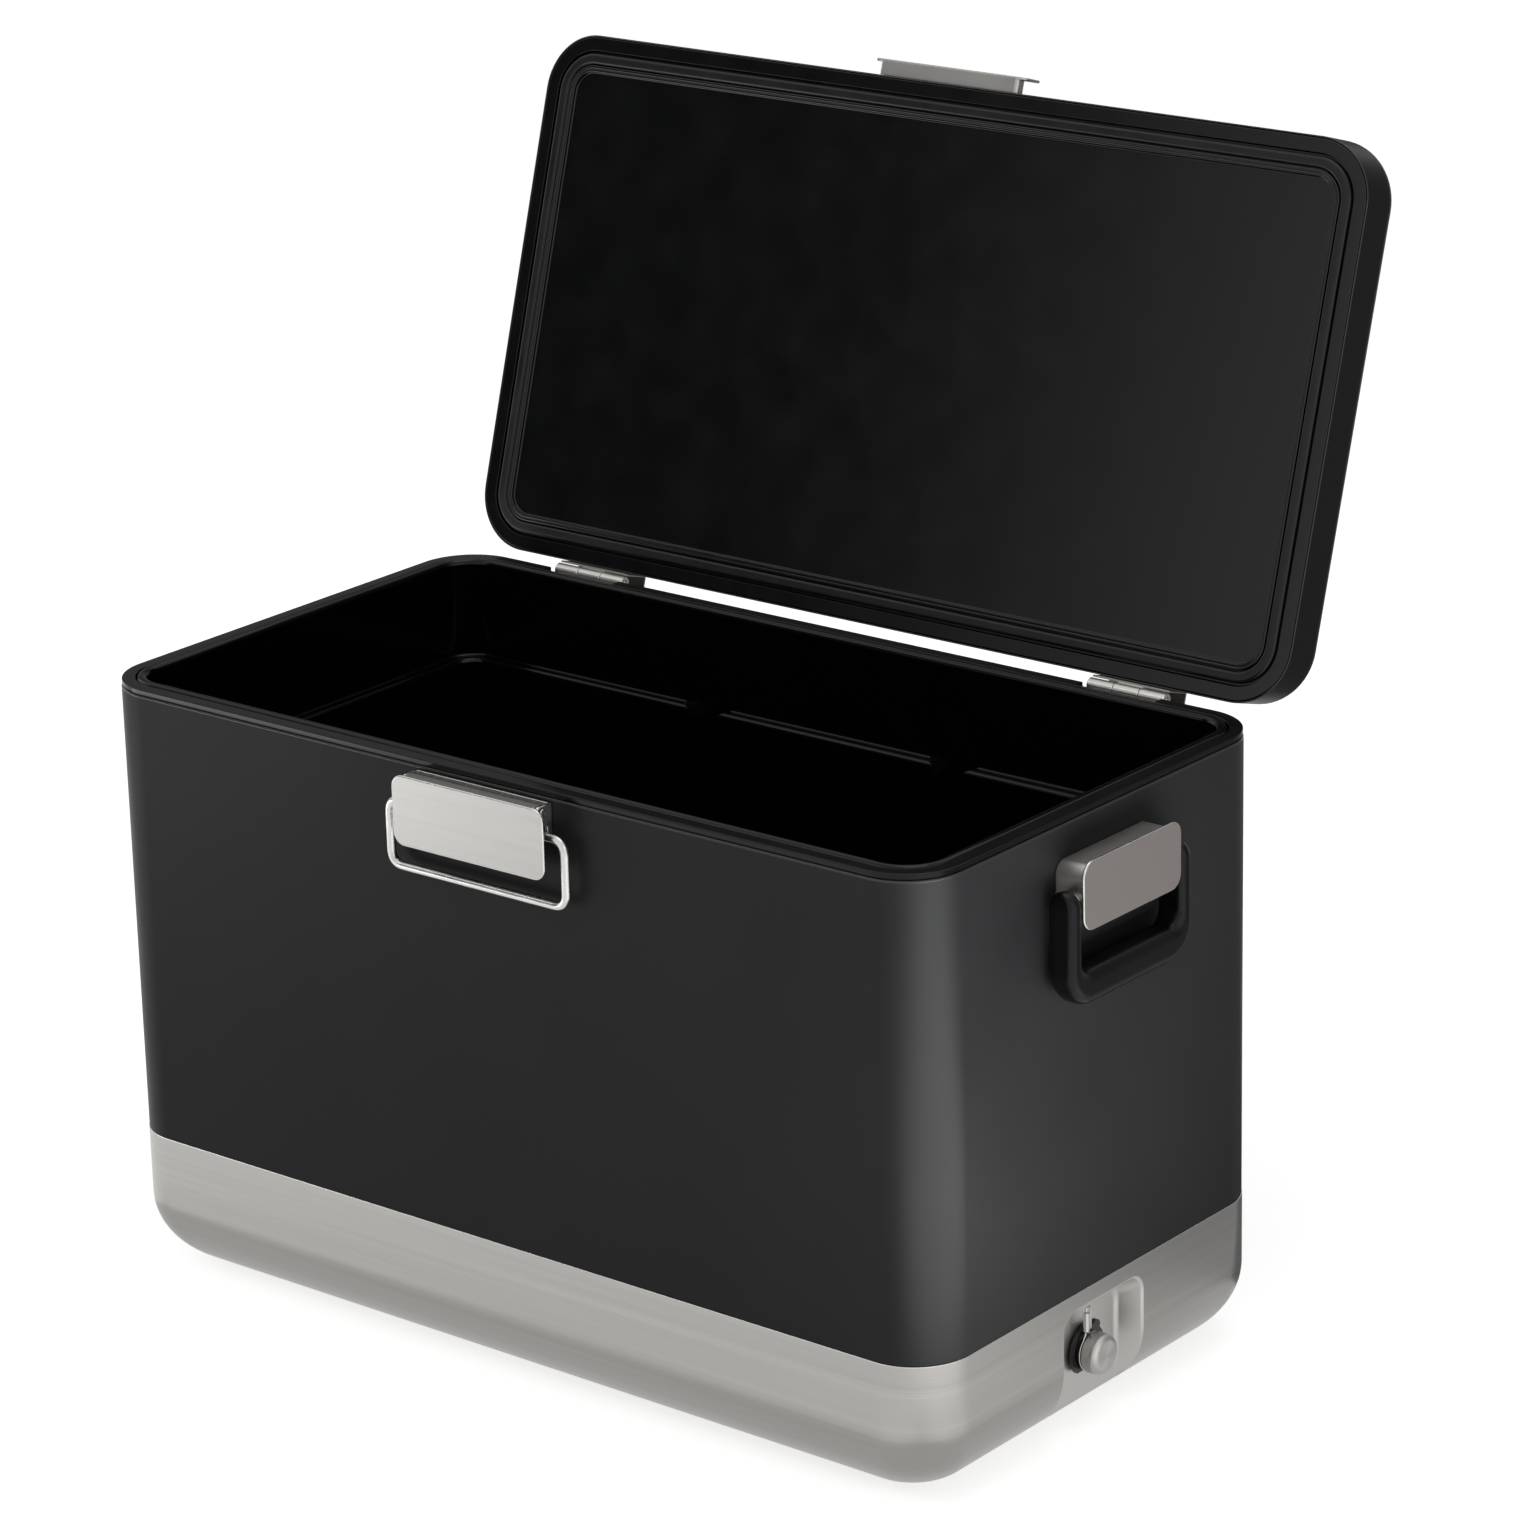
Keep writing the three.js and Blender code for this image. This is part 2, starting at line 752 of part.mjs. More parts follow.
// Moulded inner panel: outer band, gasket channel, two fine ridges and a recessed field
function makeLidLiner() {
  const channelEnd = gasketInset + gasketWidth + seatGap;
  const panel = ridgeInset + 2 * ridgePitch;
  const ridges = [0, 1].flatMap((index) => {
    const centre = ridgeInset + ridgePitch * index + ridgeRadius;
    return arc(centre, 0, ridgeRadius, 0, -180).reverse();
  });
  const curve = [
    [lidLinerGap, lidLinerSkirt],
    [lidLinerGap, lidLinerChamfer],
    [lidLinerGap + lidLinerChamfer, 0],
    [lidBandInset, 0],
    [lidBandInset + collarChamfer, lidGrooveDepth],
    [channelEnd, lidGrooveDepth],
    ...ridges,
    [panel + ridgeRadius, lidPanelRecess],
    [panel + ridgeRadius, lidLinerTop],
    [lidLinerGap + linerWall, lidLinerTop],
    [lidLinerGap + linerWall, lidLinerSkirt],
  ];
  const border = frame(curve);
  const inset = panel;
  const field = loft([planRing(inset, lidPanelRecess), planRing(inset, lidLinerTop)]);
  return join(border, field);
}

function makeGasket() {
  const seat = lidGrooveDepth - seatGap;
  const outer = gasketInset;
  const inner = gasketInset + gasketWidth;
  return frame([
    [inner, seat],
    ...arc(inner - gasketRound, gasketRound - gasketDrop, gasketRound, 0, -90),
    ...arc(outer + gasketRound, gasketRound - gasketDrop, gasketRound, 270, 180),
    [outer, seat],
  ]);
}

function makeLidFoam() {
  const gap = sheet + seatGap;
  const foam = loft(lidRings(gap, lidLinerTop + seatGap));
  const skirt = lidLinerSkirt + seatGap;
  const inner = lidLinerGap + linerWall + seatGap;
  return cut(foam, frame([[0, 0], [0, skirt], [inner, skirt], [inner, 0]]));
}

// Folded keeper: an open-backed box the bail rests on, behind a wider front plate
function makeKeeper() {
  const face = -halfDepth;
  const back = face - seatGap;
  const plateBack = face - keeperReach + keeperSheet;
  const high = keeperLow + keeperBoxHeight;
  const box = block(-keeperBoxHalf, keeperBoxHalf, plateBack, back, keeperLow, high);
  const inner = keeperBoxHalf - keeperSheet;
  const innerLow = keeperLow + keeperSheet;
  const hollow = block(-inner, inner, plateBack, back + overrun, innerLow, high - keeperSheet);
  const outline = roundedBox(keeperPlateHalf, keeperLow, keeperLow + keeperPlateHeight, keeperCorner);
  const plate = prismY(outline, face - keeperReach, plateBack, leverEdge);
  return join(cut(box, hollow), plate);
}

function hingeSpans() {
  const length = (hingeLength - 2 * knuckleGap) / 3;
  return [0, 1, 2].map((index) => {
    const start = -hingeLength / 2 + index * (length + knuckleGap);
    return [start, start + length];
  });
}

// Rolled knuckles with the web that joins them to their leaf, above or below the axis
function knuckles(spans, side) {
  const near = side * leafGap;
  const far = side * knuckleRadius;
  const low = Math.min(near, far);
  const high = Math.max(near, far);
  const solids = spans.flatMap(([from, to]) => [
    rodX(knuckleRadius, from, to, 0, 0),
    block(from, to, seatGap - hingeSetback, 0, low, high),
  ]);
  return join(...solids);
}

function hingeBore() {
  const half = hingeLength / 2 + overrun;
  return rodX(hingePinRadius + seatGap, -half, half, 0, 0);
}

// Body leaf with the stop shelf that the lid leaf's flange lands on
function makeBodyLeaf() {
  const spans = hingeSpans();
  const wall = seatGap - hingeSetback;
  const tip = stopTip();
  const shelf = tip.z - seatGap;
  const reach = tip.y + stopMargin;
  const half = hingeLength / 2;
  const plate = block(-half, half, wall, wall + leafSheet, shelf - leafSheet, -leafGap);
  const stop = block(-half, half, wall, reach, shelf - leafSheet, shelf);
  return cut(join(plate, stop, knuckles([spans[0], spans[2]], -1)), hingeBore());
}

// Lowest point of the lid leaf's flange, from the hinge axis, with the lid open
function stopTip() {
  const angle = THREE.MathUtils.degToRad(-lidOpenAngle);
  const tip = new THREE.Vector3(0, stopReach - hingeSetback, leafHeight + hingeDrop);
  return tip.applyAxisAngle(xAxis, angle);
}

function makeLidLeaf() {
  const spans = hingeSpans();
  const wall = seatGap - hingeSetback;
  const top = leafHeight + hingeDrop;
  const reach = stopReach - hingeSetback;
  const half = hingeLength / 2;
  const plate = block(-half, half, wall, wall + leafSheet, leafGap, top);
  const flange = block(-half, half, wall, reach, top - leafSheet, top);
  return cut(join(plate, flange, knuckles([spans[1]], 1)), hingeBore());
}

function makeHingePin() {
  const half = hingeLength / 2 + pinEnd;
  return rodX(hingePinRadius, -half, half, 0, 0);
}

// Latch pieces are drawn with Y as the distance out from the body's front face
function latchSide(shape, from, to) {
  const right = prismX(shape, from, to);
  const left = prismX(shape, -to, -from);
  return join(right, left);
}

// Folded lever: front plate, top rolled round the pin and two cheeks that hold the bail
function makeLever() {
  const boreRadius = latchPinRadius + seatGap;
  const rollRadius = boreRadius + leverSheet;
  const plateBack = leverReach - leverSheet;
  const outline = roundedBox(leverWidth / 2, leverTop - leverHeight, leverTop, leverCorner);
  const plate = prismY(outline, plateBack, leverReach, leverEdge);
  const cheek = new THREE.Shape();
  cheek.moveTo(plateBack + leverEdge, leverTop - leverEdge);
  cheek.absarc(latchPinOffset, latchPinHeight, rollRadius, quarter, 2 * quarter);
  cheek.absarc(latchPinOffset, bailSeatHeight, bailSeatRadius, 2 * quarter, 3 * quarter);
  cheek.lineTo(plateBack + leverEdge, bailSeatHeight - bailSeatRadius);
  const roll = new THREE.Shape();
  roll.moveTo(plateBack + leverEdge, leverTop - leverSheet);
  roll.lineTo(plateBack + leverEdge, leverTop);
  roll.absarc(latchPinOffset, latchPinHeight, rollRadius, quarter, 3 * quarter);
  roll.absarc(latchPinOffset, latchPinHeight, boreRadius, 3 * quarter, quarter, true);
  const pinHole = rodX(boreRadius, -leverWidth, leverWidth, latchPinOffset, latchPinHeight);
  const bailHole = rodX(bailRadius + seatGap, -leverWidth, leverWidth, latchPinOffset, bailSeatHeight);
  const cheeks = latchSide(cheek, cheekHalf - leverSheet, cheekHalf);
  const top = prismX(roll, -cheekHalf, cheekHalf);
  return cut(join(plate, cheeks, top), pinHole, bailHole);
}

// Open wire loop with its ends in the lever's cheeks, hanging from them
function makeBail() {
  const leg = bailHalf - bailRadius;
  const end = cheekHalf - bailInsertion;
  const high = bailSeatHeight;
  const low = high - bailLeg();
  const corners = [[-end, high], [-leg, high], [-leg, low], [leg, low], [leg, high], [end, high]];
  const points = corners.map(([x, z]) => new THREE.Vector3(x, latchPinOffset, z));
  return wire(bentPath(points, bailCorner), bailRadius, tubeSides, bailSteps);
}

// The bail is as long as it must be to lie on the closed lid's keeper
function bailLeg() {
  return lidPlane + keeperLow + keeperBoxHeight + seatGap + bailRadius - bailSeatHeight;
}

function makeLatchBracket() {
  const earInner = cheekHalf + earGap;
  const earOuter = earInner + earSheet;
  const high = latchPinHeight + earTopRise;
  const low = latchPinHeight - earFoot;
  const step = latchPinHeight - earStep;
  const nose = latchPinHeight - earNose;
  const ear = new THREE.Shape();
  ear.moveTo(seatGap, low);
  ear.lineTo(earFootReach, low);
  ear.lineTo(earFootReach, step);
  ear.lineTo(earFrontReach, nose);
  ear.absarc(earFrontReach - earRound, high - earRound, earRound, 0, quarter);
  ear.lineTo(seatGap, high);
  const back = block(-earOuter, earOuter, seatGap, seatGap + bracketSheet, low, high);
  const hole = rodX(latchPinRadius + seatGap, -leverWidth, leverWidth, latchPinOffset, latchPinHeight);
  return cut(join(back, latchSide(ear, earInner, earOuter)), hole);
}

function makeLatchPin() {
  const half = cheekHalf + earGap + earSheet + pinEnd;
  return rodX(latchPinRadius, -half, half, latchPinOffset, latchPinHeight);
}

// Handle pieces are drawn with X as the distance out from the body's end face
function makeHandleBracket() {
  const high = bracketLow + bracketHeight;
  const outer = roundedBox(bracketHalf, bracketLow, high, bracketCorner);
  const inner = roundedBox(
    bracketHalf - bracketWall,
    bracketLow + bracketWall,
    high - bracketWall,
    bracketCorner - bracketWall,
  );
  const casing = prismX(outer, seatGap, bracketDepth);
  const hollow = prismX(inner, -overrun, bracketDepth - bracketWall);
  const hole = rodY(gripPinRadius + seatGap, -bodyDepth, bodyDepth, gripPivotX(), gripPivotHeight);
  return cut(casing, hollow, hole);
}

function gripPivotX() {
  return gripStandoff + gripDepth / 2;
}

function makeCover() {
  const low = bracketLow - coverDrop;
  const high = bracketLow + bracketHeight + coverDrop;
  const outline = roundedBox(bracketHalf + coverLip, low, high, coverCorner);
  const back = bracketDepth + seatGap;
  return prismX(outline, back, back + coverSheet, coverEdge);
}

// Moulded U grip; its leg tops are round about their pivots
function makeGrip() {
  const outerHalf = gripInnerHalf + gripLeg;
  const top = gripPivotHeight + gripDepth;
  const floor = gripLow + gripBar;
  const far = gripStandoff + gripDepth;
  const outerBend = outerHalf - gripOuterCorner;
  const innerBend = gripInnerHalf - gripInnerCorner;
  const outer = new THREE.Shape();
  outer.moveTo(-outerHalf, top);
  outer.absarc(-outerBend, gripLow + gripOuterCorner, gripOuterCorner, 2 * quarter, 3 * quarter);
  outer.absarc(outerBend, gripLow + gripOuterCorner, gripOuterCorner, 3 * quarter, 4 * quarter);
  outer.lineTo(outerHalf, top);
  outer.lineTo(gripInnerHalf, top);
  outer.absarc(innerBend, floor + gripInnerCorner, gripInnerCorner, 4 * quarter, 3 * quarter, true);
  outer.absarc(-innerBend, floor + gripInnerCorner, gripInnerCorner, 3 * quarter, 2 * quarter, true);
  outer.lineTo(-gripInnerHalf, top);
  const bar = prismX(outer, gripStandoff, far, gripRound, gripSteps);
  const profile = new THREE.Shape();
  profile.moveTo(gripStandoff, gripLow - overrun);
  profile.lineTo(far, gripLow - overrun);
  profile.absarc(gripPivotX(), gripPivotHeight, gripDepth / 2, 0, 2 * quarter);
  const legs = prismY(profile, -outerHalf - overrun, outerHalf + overrun);
  const bore = gripPinRadius + seatGap;
  const depth = gripInnerHalf + gripPinInsertion + seatGap;
  const hole = rodY(bore, -depth, depth, gripPivotX(), gripPivotHeight);
  return cut(bar.intersect(legs), hole);
}

// Stub pin with the boss that spaces the grip from its bracket
function makeGripPin() {
  const inner = bracketHalf - bracketWall - gripPinRadius;
  const boss = bracketHalf + seatGap;
  const bossEnd = gripInnerHalf - seatGap;
  const end = gripInnerHalf + gripPinInsertion;
  const profile = [
    [0, inner], [gripPinRadius, inner], [gripPinRadius, boss], [gripBossRadius, boss],
    [gripBossRadius, bossEnd], [gripPinRadius, bossEnd], [gripPinRadius, end], [0, end],
  ];
  const points = profile.map(([radius, along]) => new THREE.Vector2(radius, along));
  return solidOf(new THREE.LatheGeometry(points, roundSteps));
}

function addPiece(group, name, solid, finish) {
  const material = new THREE.MeshStandardMaterial(finishes[finish]);
  const mesh = new THREE.Mesh(geometryOf(solid), material);
  mesh.name = name;
  group.add(mesh);
  return mesh;
}

function addBody(cooler) {
  addPiece(cooler, 'outer_shell', makeShell(), 'paint');
  addPiece(cooler, 'base_pan', makePan(), 'brushed');
  addPiece(cooler, 'liner', makeLiner(), 'gloss');
  addPiece(cooler, 'rim_collar', makeCollar(), 'satin');
  addPiece(cooler, 'body_foam', makeBodyFoam(), 'foam');
}

function addDrain(cooler) {
  addPiece(cooler, 'drain_spout', makeSpout(), 'satin');
  addPiece(cooler, 'drain_washer', makeWasher(), 'rubber');
  addPiece(cooler, 'drain_bezel', makeBezel(), 'satin');
  addPiece(cooler, 'drain_cap', makeCap(), 'brushed');
  addPiece(cooler, 'drain_cap_seal', makeCapSeal(), 'rubber');
  addPiece(cooler, 'tether_neck_loop', makeNeckLoop(), 'polished');
  addPiece(cooler, 'tether_ferrule', makeFerrule(), 'polished');
  addPiece(cooler, 'tether_anchor_loop', makeAnchorLoop(), 'polished');
}

function addHinges(cooler, lidPivot) {
  const sides = { left: -1, right: 1 };
  Object.entries(sides).forEach(([name, side]) => {
    const x = side * hingeSpacing / 2;
    const fixed = new THREE.Group();
    fixed.position.set(x, hingeAxisY, hingeAxisZ);
    cooler.add(fixed);
    addPiece(fixed, `hinge_${name}_body_leaf`, makeBodyLeaf(), 'plate');
    addPiece(fixed, `hinge_${name}_pin`, makeHingePin(), 'polished');
    const leaf = addPiece(lidPivot, `hinge_${name}_lid_leaf`, makeLidLeaf(), 'plate');
    leaf.position.x = x;
  });
}

function addLid(cooler) {
  const pivot = new THREE.Group();
  pivot.position.set(0, hingeAxisY, hingeAxisZ);
  pivot.rotation.x = THREE.MathUtils.degToRad(-lidOpenAngle);
  cooler.add(pivot);
  const lid = new THREE.Group();
  lid.position.set(0, -hingeAxisY, hingeDrop);
  pivot.add(lid);
  addPiece(lid, 'lid_shell', makeLidShell(), 'paint');
  addPiece(lid, 'lid_liner', makeLidLiner(), 'gloss');
  addPiece(lid, 'lid_gasket', makeGasket(), 'rubber');
  addPiece(lid, 'lid_foam', makeLidFoam(), 'foam');
  addPiece(lid, 'lid_keeper', makeKeeper(), 'plate');
  return pivot;
}

function addLatch(cooler) {
  const latch = new THREE.Group();
  latch.position.y = -halfDepth;
  latch.rotation.z = Math.PI;
  cooler.add(latch);
  addPiece(latch, 'latch_bracket', makeLatchBracket(), 'polished');
  addPiece(latch, 'latch_pin', makeLatchPin(), 'polished');
  addPiece(latch, 'latch_lever', makeLever(), 'plate');
  addPiece(latch, 'latch_bail', makeBail(), 'polished');
}

function addHandles(cooler) {
  const sides = { left: -1, right: 1 };
  Object.entries(sides).forEach(([name, side]) => {
    const handle = new THREE.Group();
    handle.position.x = side * halfLength;
    handle.rotation.z = side > 0 ? 0 : Math.PI;
    cooler.add(handle);
    addPiece(handle, `handle_${name}_bracket`, makeHandleBracket(), 'brushed');
    addPiece(handle, `handle_${name}_cover`, makeCover(), 'brushed');
    addPiece(handle, `handle_${name}_grip`, makeGrip(), 'rubber');
    const front = addPiece(handle, `handle_${name}_front_pin`, makeGripPin(), 'polished');
    front.position.set(gripPivotX(), 0, gripPivotHeight);
    front.rotation.z = Math.PI * (side > 0 ? 1 : 0);
    const rear = addPiece(handle, `handle_${name}_rear_pin`, makeGripPin(), 'polished');
    rear.position.set(gripPivotX(), 0, gripPivotHeight);
    rear.rotation.z = Math.PI * (side > 0 ? 0 : 1);
  });
}

const cooler = new THREE.Group();
addBody(cooler);
addDrain(cooler);
addHinges(cooler, addLid(cooler));
addLatch(cooler);
addHandles(cooler);

export default cooler;
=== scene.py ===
from math import asin, cos, hypot, pi, radians, sin, sqrt

import bmesh
import bpy
from mathutils import Matrix, Vector


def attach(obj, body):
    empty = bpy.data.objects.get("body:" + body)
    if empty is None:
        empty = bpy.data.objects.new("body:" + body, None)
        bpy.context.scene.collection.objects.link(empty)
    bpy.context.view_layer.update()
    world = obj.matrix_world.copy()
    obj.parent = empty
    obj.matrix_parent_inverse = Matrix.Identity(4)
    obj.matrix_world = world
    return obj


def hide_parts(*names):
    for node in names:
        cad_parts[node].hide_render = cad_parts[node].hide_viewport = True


# A steel-cased cooler with its lid open. X is its length, -Y the latch side, +X the drain end.
# Sizes are in millimetres here and become metres as each mesh is made.

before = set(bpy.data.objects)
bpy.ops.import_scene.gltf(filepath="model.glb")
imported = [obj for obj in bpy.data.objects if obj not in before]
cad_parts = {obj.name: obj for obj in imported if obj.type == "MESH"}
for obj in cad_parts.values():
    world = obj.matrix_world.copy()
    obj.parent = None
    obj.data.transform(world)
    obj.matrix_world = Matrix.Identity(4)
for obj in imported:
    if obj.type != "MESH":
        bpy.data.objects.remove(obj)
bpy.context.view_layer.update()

MM = 0.001
QUARTER = pi / 2
TINY = 1e-6

# Casing
LENGTH = 620
DEPTH = 331
CORNER = 37
SHELL_TOP = 375
SEAM = 90
SHEET = 0.9
HEM = 1.4
BAND_EDGE = 0.35
BAND_CHAMFER = 0.1
FLANGE = 7
LAP = 7
JOGGLE = 3
PROUD = 0.3
PAN_EDGE = 46
PAN_FLOOR_CORNER = 16
GAP = 0.3
OVER = 4
EMBED = 0.5

# Rim and tub
COLLAR_BACK = 0.3
COLLAR_SHADOW = 0.9
COLLAR_RISE = 3.8
COLLAR_EDGE = 0.7
COLLAR_CHAMFER = 0.15
COLLAR_INNER = 8.5
COLLAR_LIP = 1.2
COLLAR_LIP_DEPTH = 9
BEAD_RISE = 4.8
WALL_INSET = 16
WALL = 3
FLOOR = 28
FLOOR_RADIUS = 10
DRAFT = 3
LEDGE = 316
LEDGE_STEP = 7
LEDGE_LIP = 3
LEDGE_FILLET = 1.5
CHANNEL_SPACING = 190
CHANNEL_HALF = 7.8
CHANNEL_FLARE = 10
CHANNEL_EDGE = 2.6

# Drain
DRAIN_Z = 42
RECESS_DEPTH = 15
RECESS_MOUTH_HALF = 40
RECESS_FLOOR_HALF = 31
RECESS_FLOOR_TOP = 72
RECESS_CORNER = 12
RECESS_FOOT = 4
RECESS_FOOT_IN = 1.7
RECESS_LIP = 2.5
RECESS_EXIT = 0.6
RECESS_EXIT_SPREAD = 1.9
RECESS_OPEN = 3
RECESS_LEAST = 0.2
POCKET_RADIUS = 13
POCKET_DEPTH = 5
SPOUT_RADIUS = 8.5
BEZEL_RADIUS = 15.5
BEZEL_THICK = 2.6
BEZEL_FLAT = 10.7
BEZEL_EDGE = 0.5
LUG_REACH = 18.5
LUG_RADIUS = 3.4
LUG_SHARE = 0.16
WASHER_THICK = 1
CAP_RADIUS = 12.3
CAP_NECK = 10.6
CAP_NECK_LENGTH = 2.6
CAP_LENGTH = 13
CAP_FACE = 2.6
CAP_EDGE = 4.4
CAP_CLEARANCE = 0.4
TETHER = 0.55
TETHER_SPACING = 0.9
FERRULE_RADIUS = 1.9
FERRULE_LENGTH = 12
FERRULE_OFFSET = 5
FERRULE_CLEARANCE = 1.6
ANCHOR_RISE = 2.8
ANCHOR_REACH = 4
ANCHOR_BEND = 1.5
ANCHOR_ENTRY = 1.6

# Lid
LID_GAP = 6
LID_HEIGHT = 34
LID_EDGE = 11
LID_ANGLE = 106.74
PANEL_GAP = 1.3
PANEL_SKIRT = 9
PANEL_EDGE = 0.6
BAND_INSET = 9.7
BAND_DRAFT = 0.5
GROOVE = 2.2
GASKET_INSET = 11.3
GASKET_WIDTH = 7.3
GASKET_DROP = 0.9
GASKET_ROUND = 2.2
RIDGE_INSET = 19.1
RIDGE = 1
RIDGE_SHARE = 0.45
RIDGE_PITCH = 2.1
FIELD_RECESS = 2
FIELD_EDGE = 0.8
PANEL_TOP = 5

# Hinges
HINGE_SPACING = 414
HINGE_LENGTH = 55
KNUCKLE_GAP = 0.4
HINGE_SETBACK = 6
HINGE_DROP = 5.2
KNUCKLE = 4.15
HINGE_PIN = 1.5
PIN_END = 0.4
LEAF = 1.2
LEAF_HEIGHT = 15
LEAF_GAP = 1.1
STOP_REACH = 22
STOP_MARGIN = 2
NOTCH_MARGIN = 0.8

# Draw latch
LEVER_WIDTH = 114
LEVER_TOP = 373.3
LEVER_HEIGHT = 42.7
LEVER_REACH = 16
LEVER_SHEET = 2
LEVER_CORNER = 8
LEVER_EDGE = 1.3
ROLL_INSET = 0.02
ROLL_END = 0.1
LATCH_PIN = 2.3
LATCH_PIN_OFF = 8
CHEEK = 48.4
CHEEK_EDGE = 0.25
SEAT_DROP = 13.8
SEAT_RADIUS = 5
BAIL = 2.65
BAIL_WIDTH = 137.5
BAIL_CORNER = 9
BAIL_IN = 5
EAR_SHEET = 2
EAR_GAP = 0.5
EAR_RISE = 4
EAR_FOOT = 14.6
EAR_FOOT_REACH = 4.6
EAR_REACH = 12.4
EAR_STEP = 9
EAR_NOSE = 7
EAR_ROUND = 2
BACK_SHEET = 1.5

# Keeper
KEEPER_BOX = 52
KEEPER_PLATE = 57
KEEPER_LOW = 3
KEEPER_BOX_HIGH = 8
KEEPER_PLATE_HIGH = 18
KEEPER_REACH = 10
KEEPER_SHEET = 1.8
KEEPER_CORNER = 4
KEEPER_BOX_CORNER = 2.4
KEEPER_EDGE = 0.8

# Side handles
BRACKET_HALF = 44.5
BRACKET_LOW = 321.3
BRACKET_HIGH = 34
BRACKET_DEPTH = 19
BRACKET_CORNER = 8
BRACKET_WALL = 2
COVER_LIP = 2.25
COVER_DROP = 3.3
COVER_SHEET = 2
COVER_CORNER = 9
COVER_EDGE = 0.9
GRIP_INNER = 47.5
GRIP_LEG = 10
GRIP_DEPTH = 19
GRIP_OFF = 3
GRIP_PIVOT = 333.3
GRIP_LOW = 273.3
GRIP_BAR = 22
GRIP_OUTER_CORNER = 21
GRIP_INNER_CORNER = 9
GRIP_LEG_ROUND = 4.7
GRIP_BAR_ROUND = 8
GRIP_DOME = 0.35
GRIP_DOME_TURNS = (0.999, 0.985, 0.95, 0.88, 0.78, 0.66, 0.52, 0.36, 0.18, 0)
GRIP_DOME_FOOT = 4
GRIP_BAR_STATIONS = (24, 12)
GRIP_FULLNESS = 0.94
GRIP_PIN = 3
GRIP_PIN_IN = 6
GRIP_BOSS = 6.3

# Broken edges
FINE_EDGE = 0.3
PIN_EDGE = 0.35
PART_EDGE = 0.4

# Smoothness
CORNER_STEPS = 16
ARC_STEPS = 6
ROUND_STEPS = 48
PAN_STEPS = 20
ARCH_STEPS = 28
LOOP_STEPS = 36
SMOOTH_ANGLE = 32
CURVED_ANGLE = 40
WIRE_ANGLE = 50

# Where a piece's second finish starts; on the hems and the belt's lip it paints a highlight, in the recess a
# brighter reflection
BELT_LIP_HIGHLIGHT = 0.62
LID_HEM_HIGHLIGHT = 0.6
FACE_ON = 0.96
RECESS_WALL = 0.15
RECESS_HALF = 42
RECESS_LOW = 8
RECESS_HIGH = 84

HALF_X = LENGTH / 2
HALF_Y = DEPTH / 2
RIM_TOP = SHELL_TOP + BEAD_RISE
LID_PLANE = SHELL_TOP + LID_GAP
BEAD_OUTER = COLLAR_INNER + GAP
HINGE_Y = HALF_Y + HINGE_SETBACK
HINGE_Z = LID_PLANE - HINGE_DROP
HINGE_HALF = HINGE_LENGTH / 2
PIN_Z = LEVER_TOP - LATCH_PIN - GAP - LEVER_SHEET
SEAT_Z = PIN_Z - SEAT_DROP
PIVOT_X = GRIP_OFF + GRIP_DEPTH / 2


# Making meshes

def add_object(name, data):
    piece = bpy.data.objects.new(name, data)
    bpy.context.scene.collection.objects.link(piece)
    return piece


def shift(x, y, z):
    """A move in millimetres."""
    return Matrix.Translation((x * MM, y * MM, z * MM))


def rotate(degrees, axis):
    return Matrix.Rotation(radians(degrees), 4, axis)


def rework(mesh, change):
    shape = bmesh.new()
    shape.from_mesh(mesh)
    change(shape)
    shape.to_mesh(mesh)
    shape.free()


def face_outward(shape):
    if shape.calc_volume(signed=True) < 0:
        bmesh.ops.reverse_faces(shape, faces=shape.faces)


def solid(name, points, faces):
    mesh = bpy.data.meshes.new(name)
    mesh.from_pydata([Vector(point) * MM for point in points], [], faces)
    rework(mesh, face_outward)
    return add_object(name, mesh)


def ring(half_x, half_y, radius, z, steps=CORNER_STEPS):
    points = []
    for corner, (sign_x, sign_y) in enumerate([(1, 1), (-1, 1), (-1, -1), (1, -1)]):
        for step in range(steps + 1):
            angle = (corner + step / steps) * QUARTER
            x = sign_x * (half_x - radius) + radius * cos(angle)
            y = sign_y * (half_y - radius) + radius * sin(angle)
            points.append((x, y, z))
    return points


def plan_ring(inset, z):
    return ring(HALF_X - inset, HALF_Y - inset, CORNER - inset, z)


def plan_rings(section):
    return [plan_ring(inset, z) for inset, z in section]


def row_faces(rows, closed):
    """Faces between each row of point numbers and the next."""
    faces = []
    for row in range(len(rows) if closed else len(rows) - 1):
        here = rows[row]
        after = rows[(row + 1) % len(rows)]
        for column in range(len(here)):
            side = (column + 1) % len(here)
            corners = [here[column], here[side], after[side], after[column]]
            faces.append(tuple(dict.fromkeys(corners)))
    return faces


def loft(name, rings, closed=False):
    """Skins rings of equal count. An open run is capped at both ends."""
    count = len(rings[0])
    rows = [range(row * count, (row + 1) * count) for row in range(len(rings))]
    faces = row_faces(rows, closed)
    if not closed:
        faces += [tuple(reversed(rows[0])), tuple(rows[-1])]
    return solid(name, [point for points in rings for point in points], faces)


def around(name, section):
    """A closed section of (inset, height) points carried round the body's plan."""
    return loft(name, plan_rings(section), closed=True)


def arc(inset, z, radius, start, end, steps=ARC_STEPS):
    points = []
    for step in range(steps + 1):
        angle = radians(start + (end - start) * step / steps)
        points.append((inset + radius * cos(angle), z + radius * sin(angle)))
    return points


def along_x(name, outline, start, end):
    """An outline in Y and Z, from one X to another."""
    return loft(name, [[(x, a, b) for a, b in outline] for x in (start, end)])


def along_y(name, outline, start, end):
    """An outline in X and Z, from one Y to another."""
    return loft(name, [[(a, y, b) for a, b in outline] for y in (start, end)])


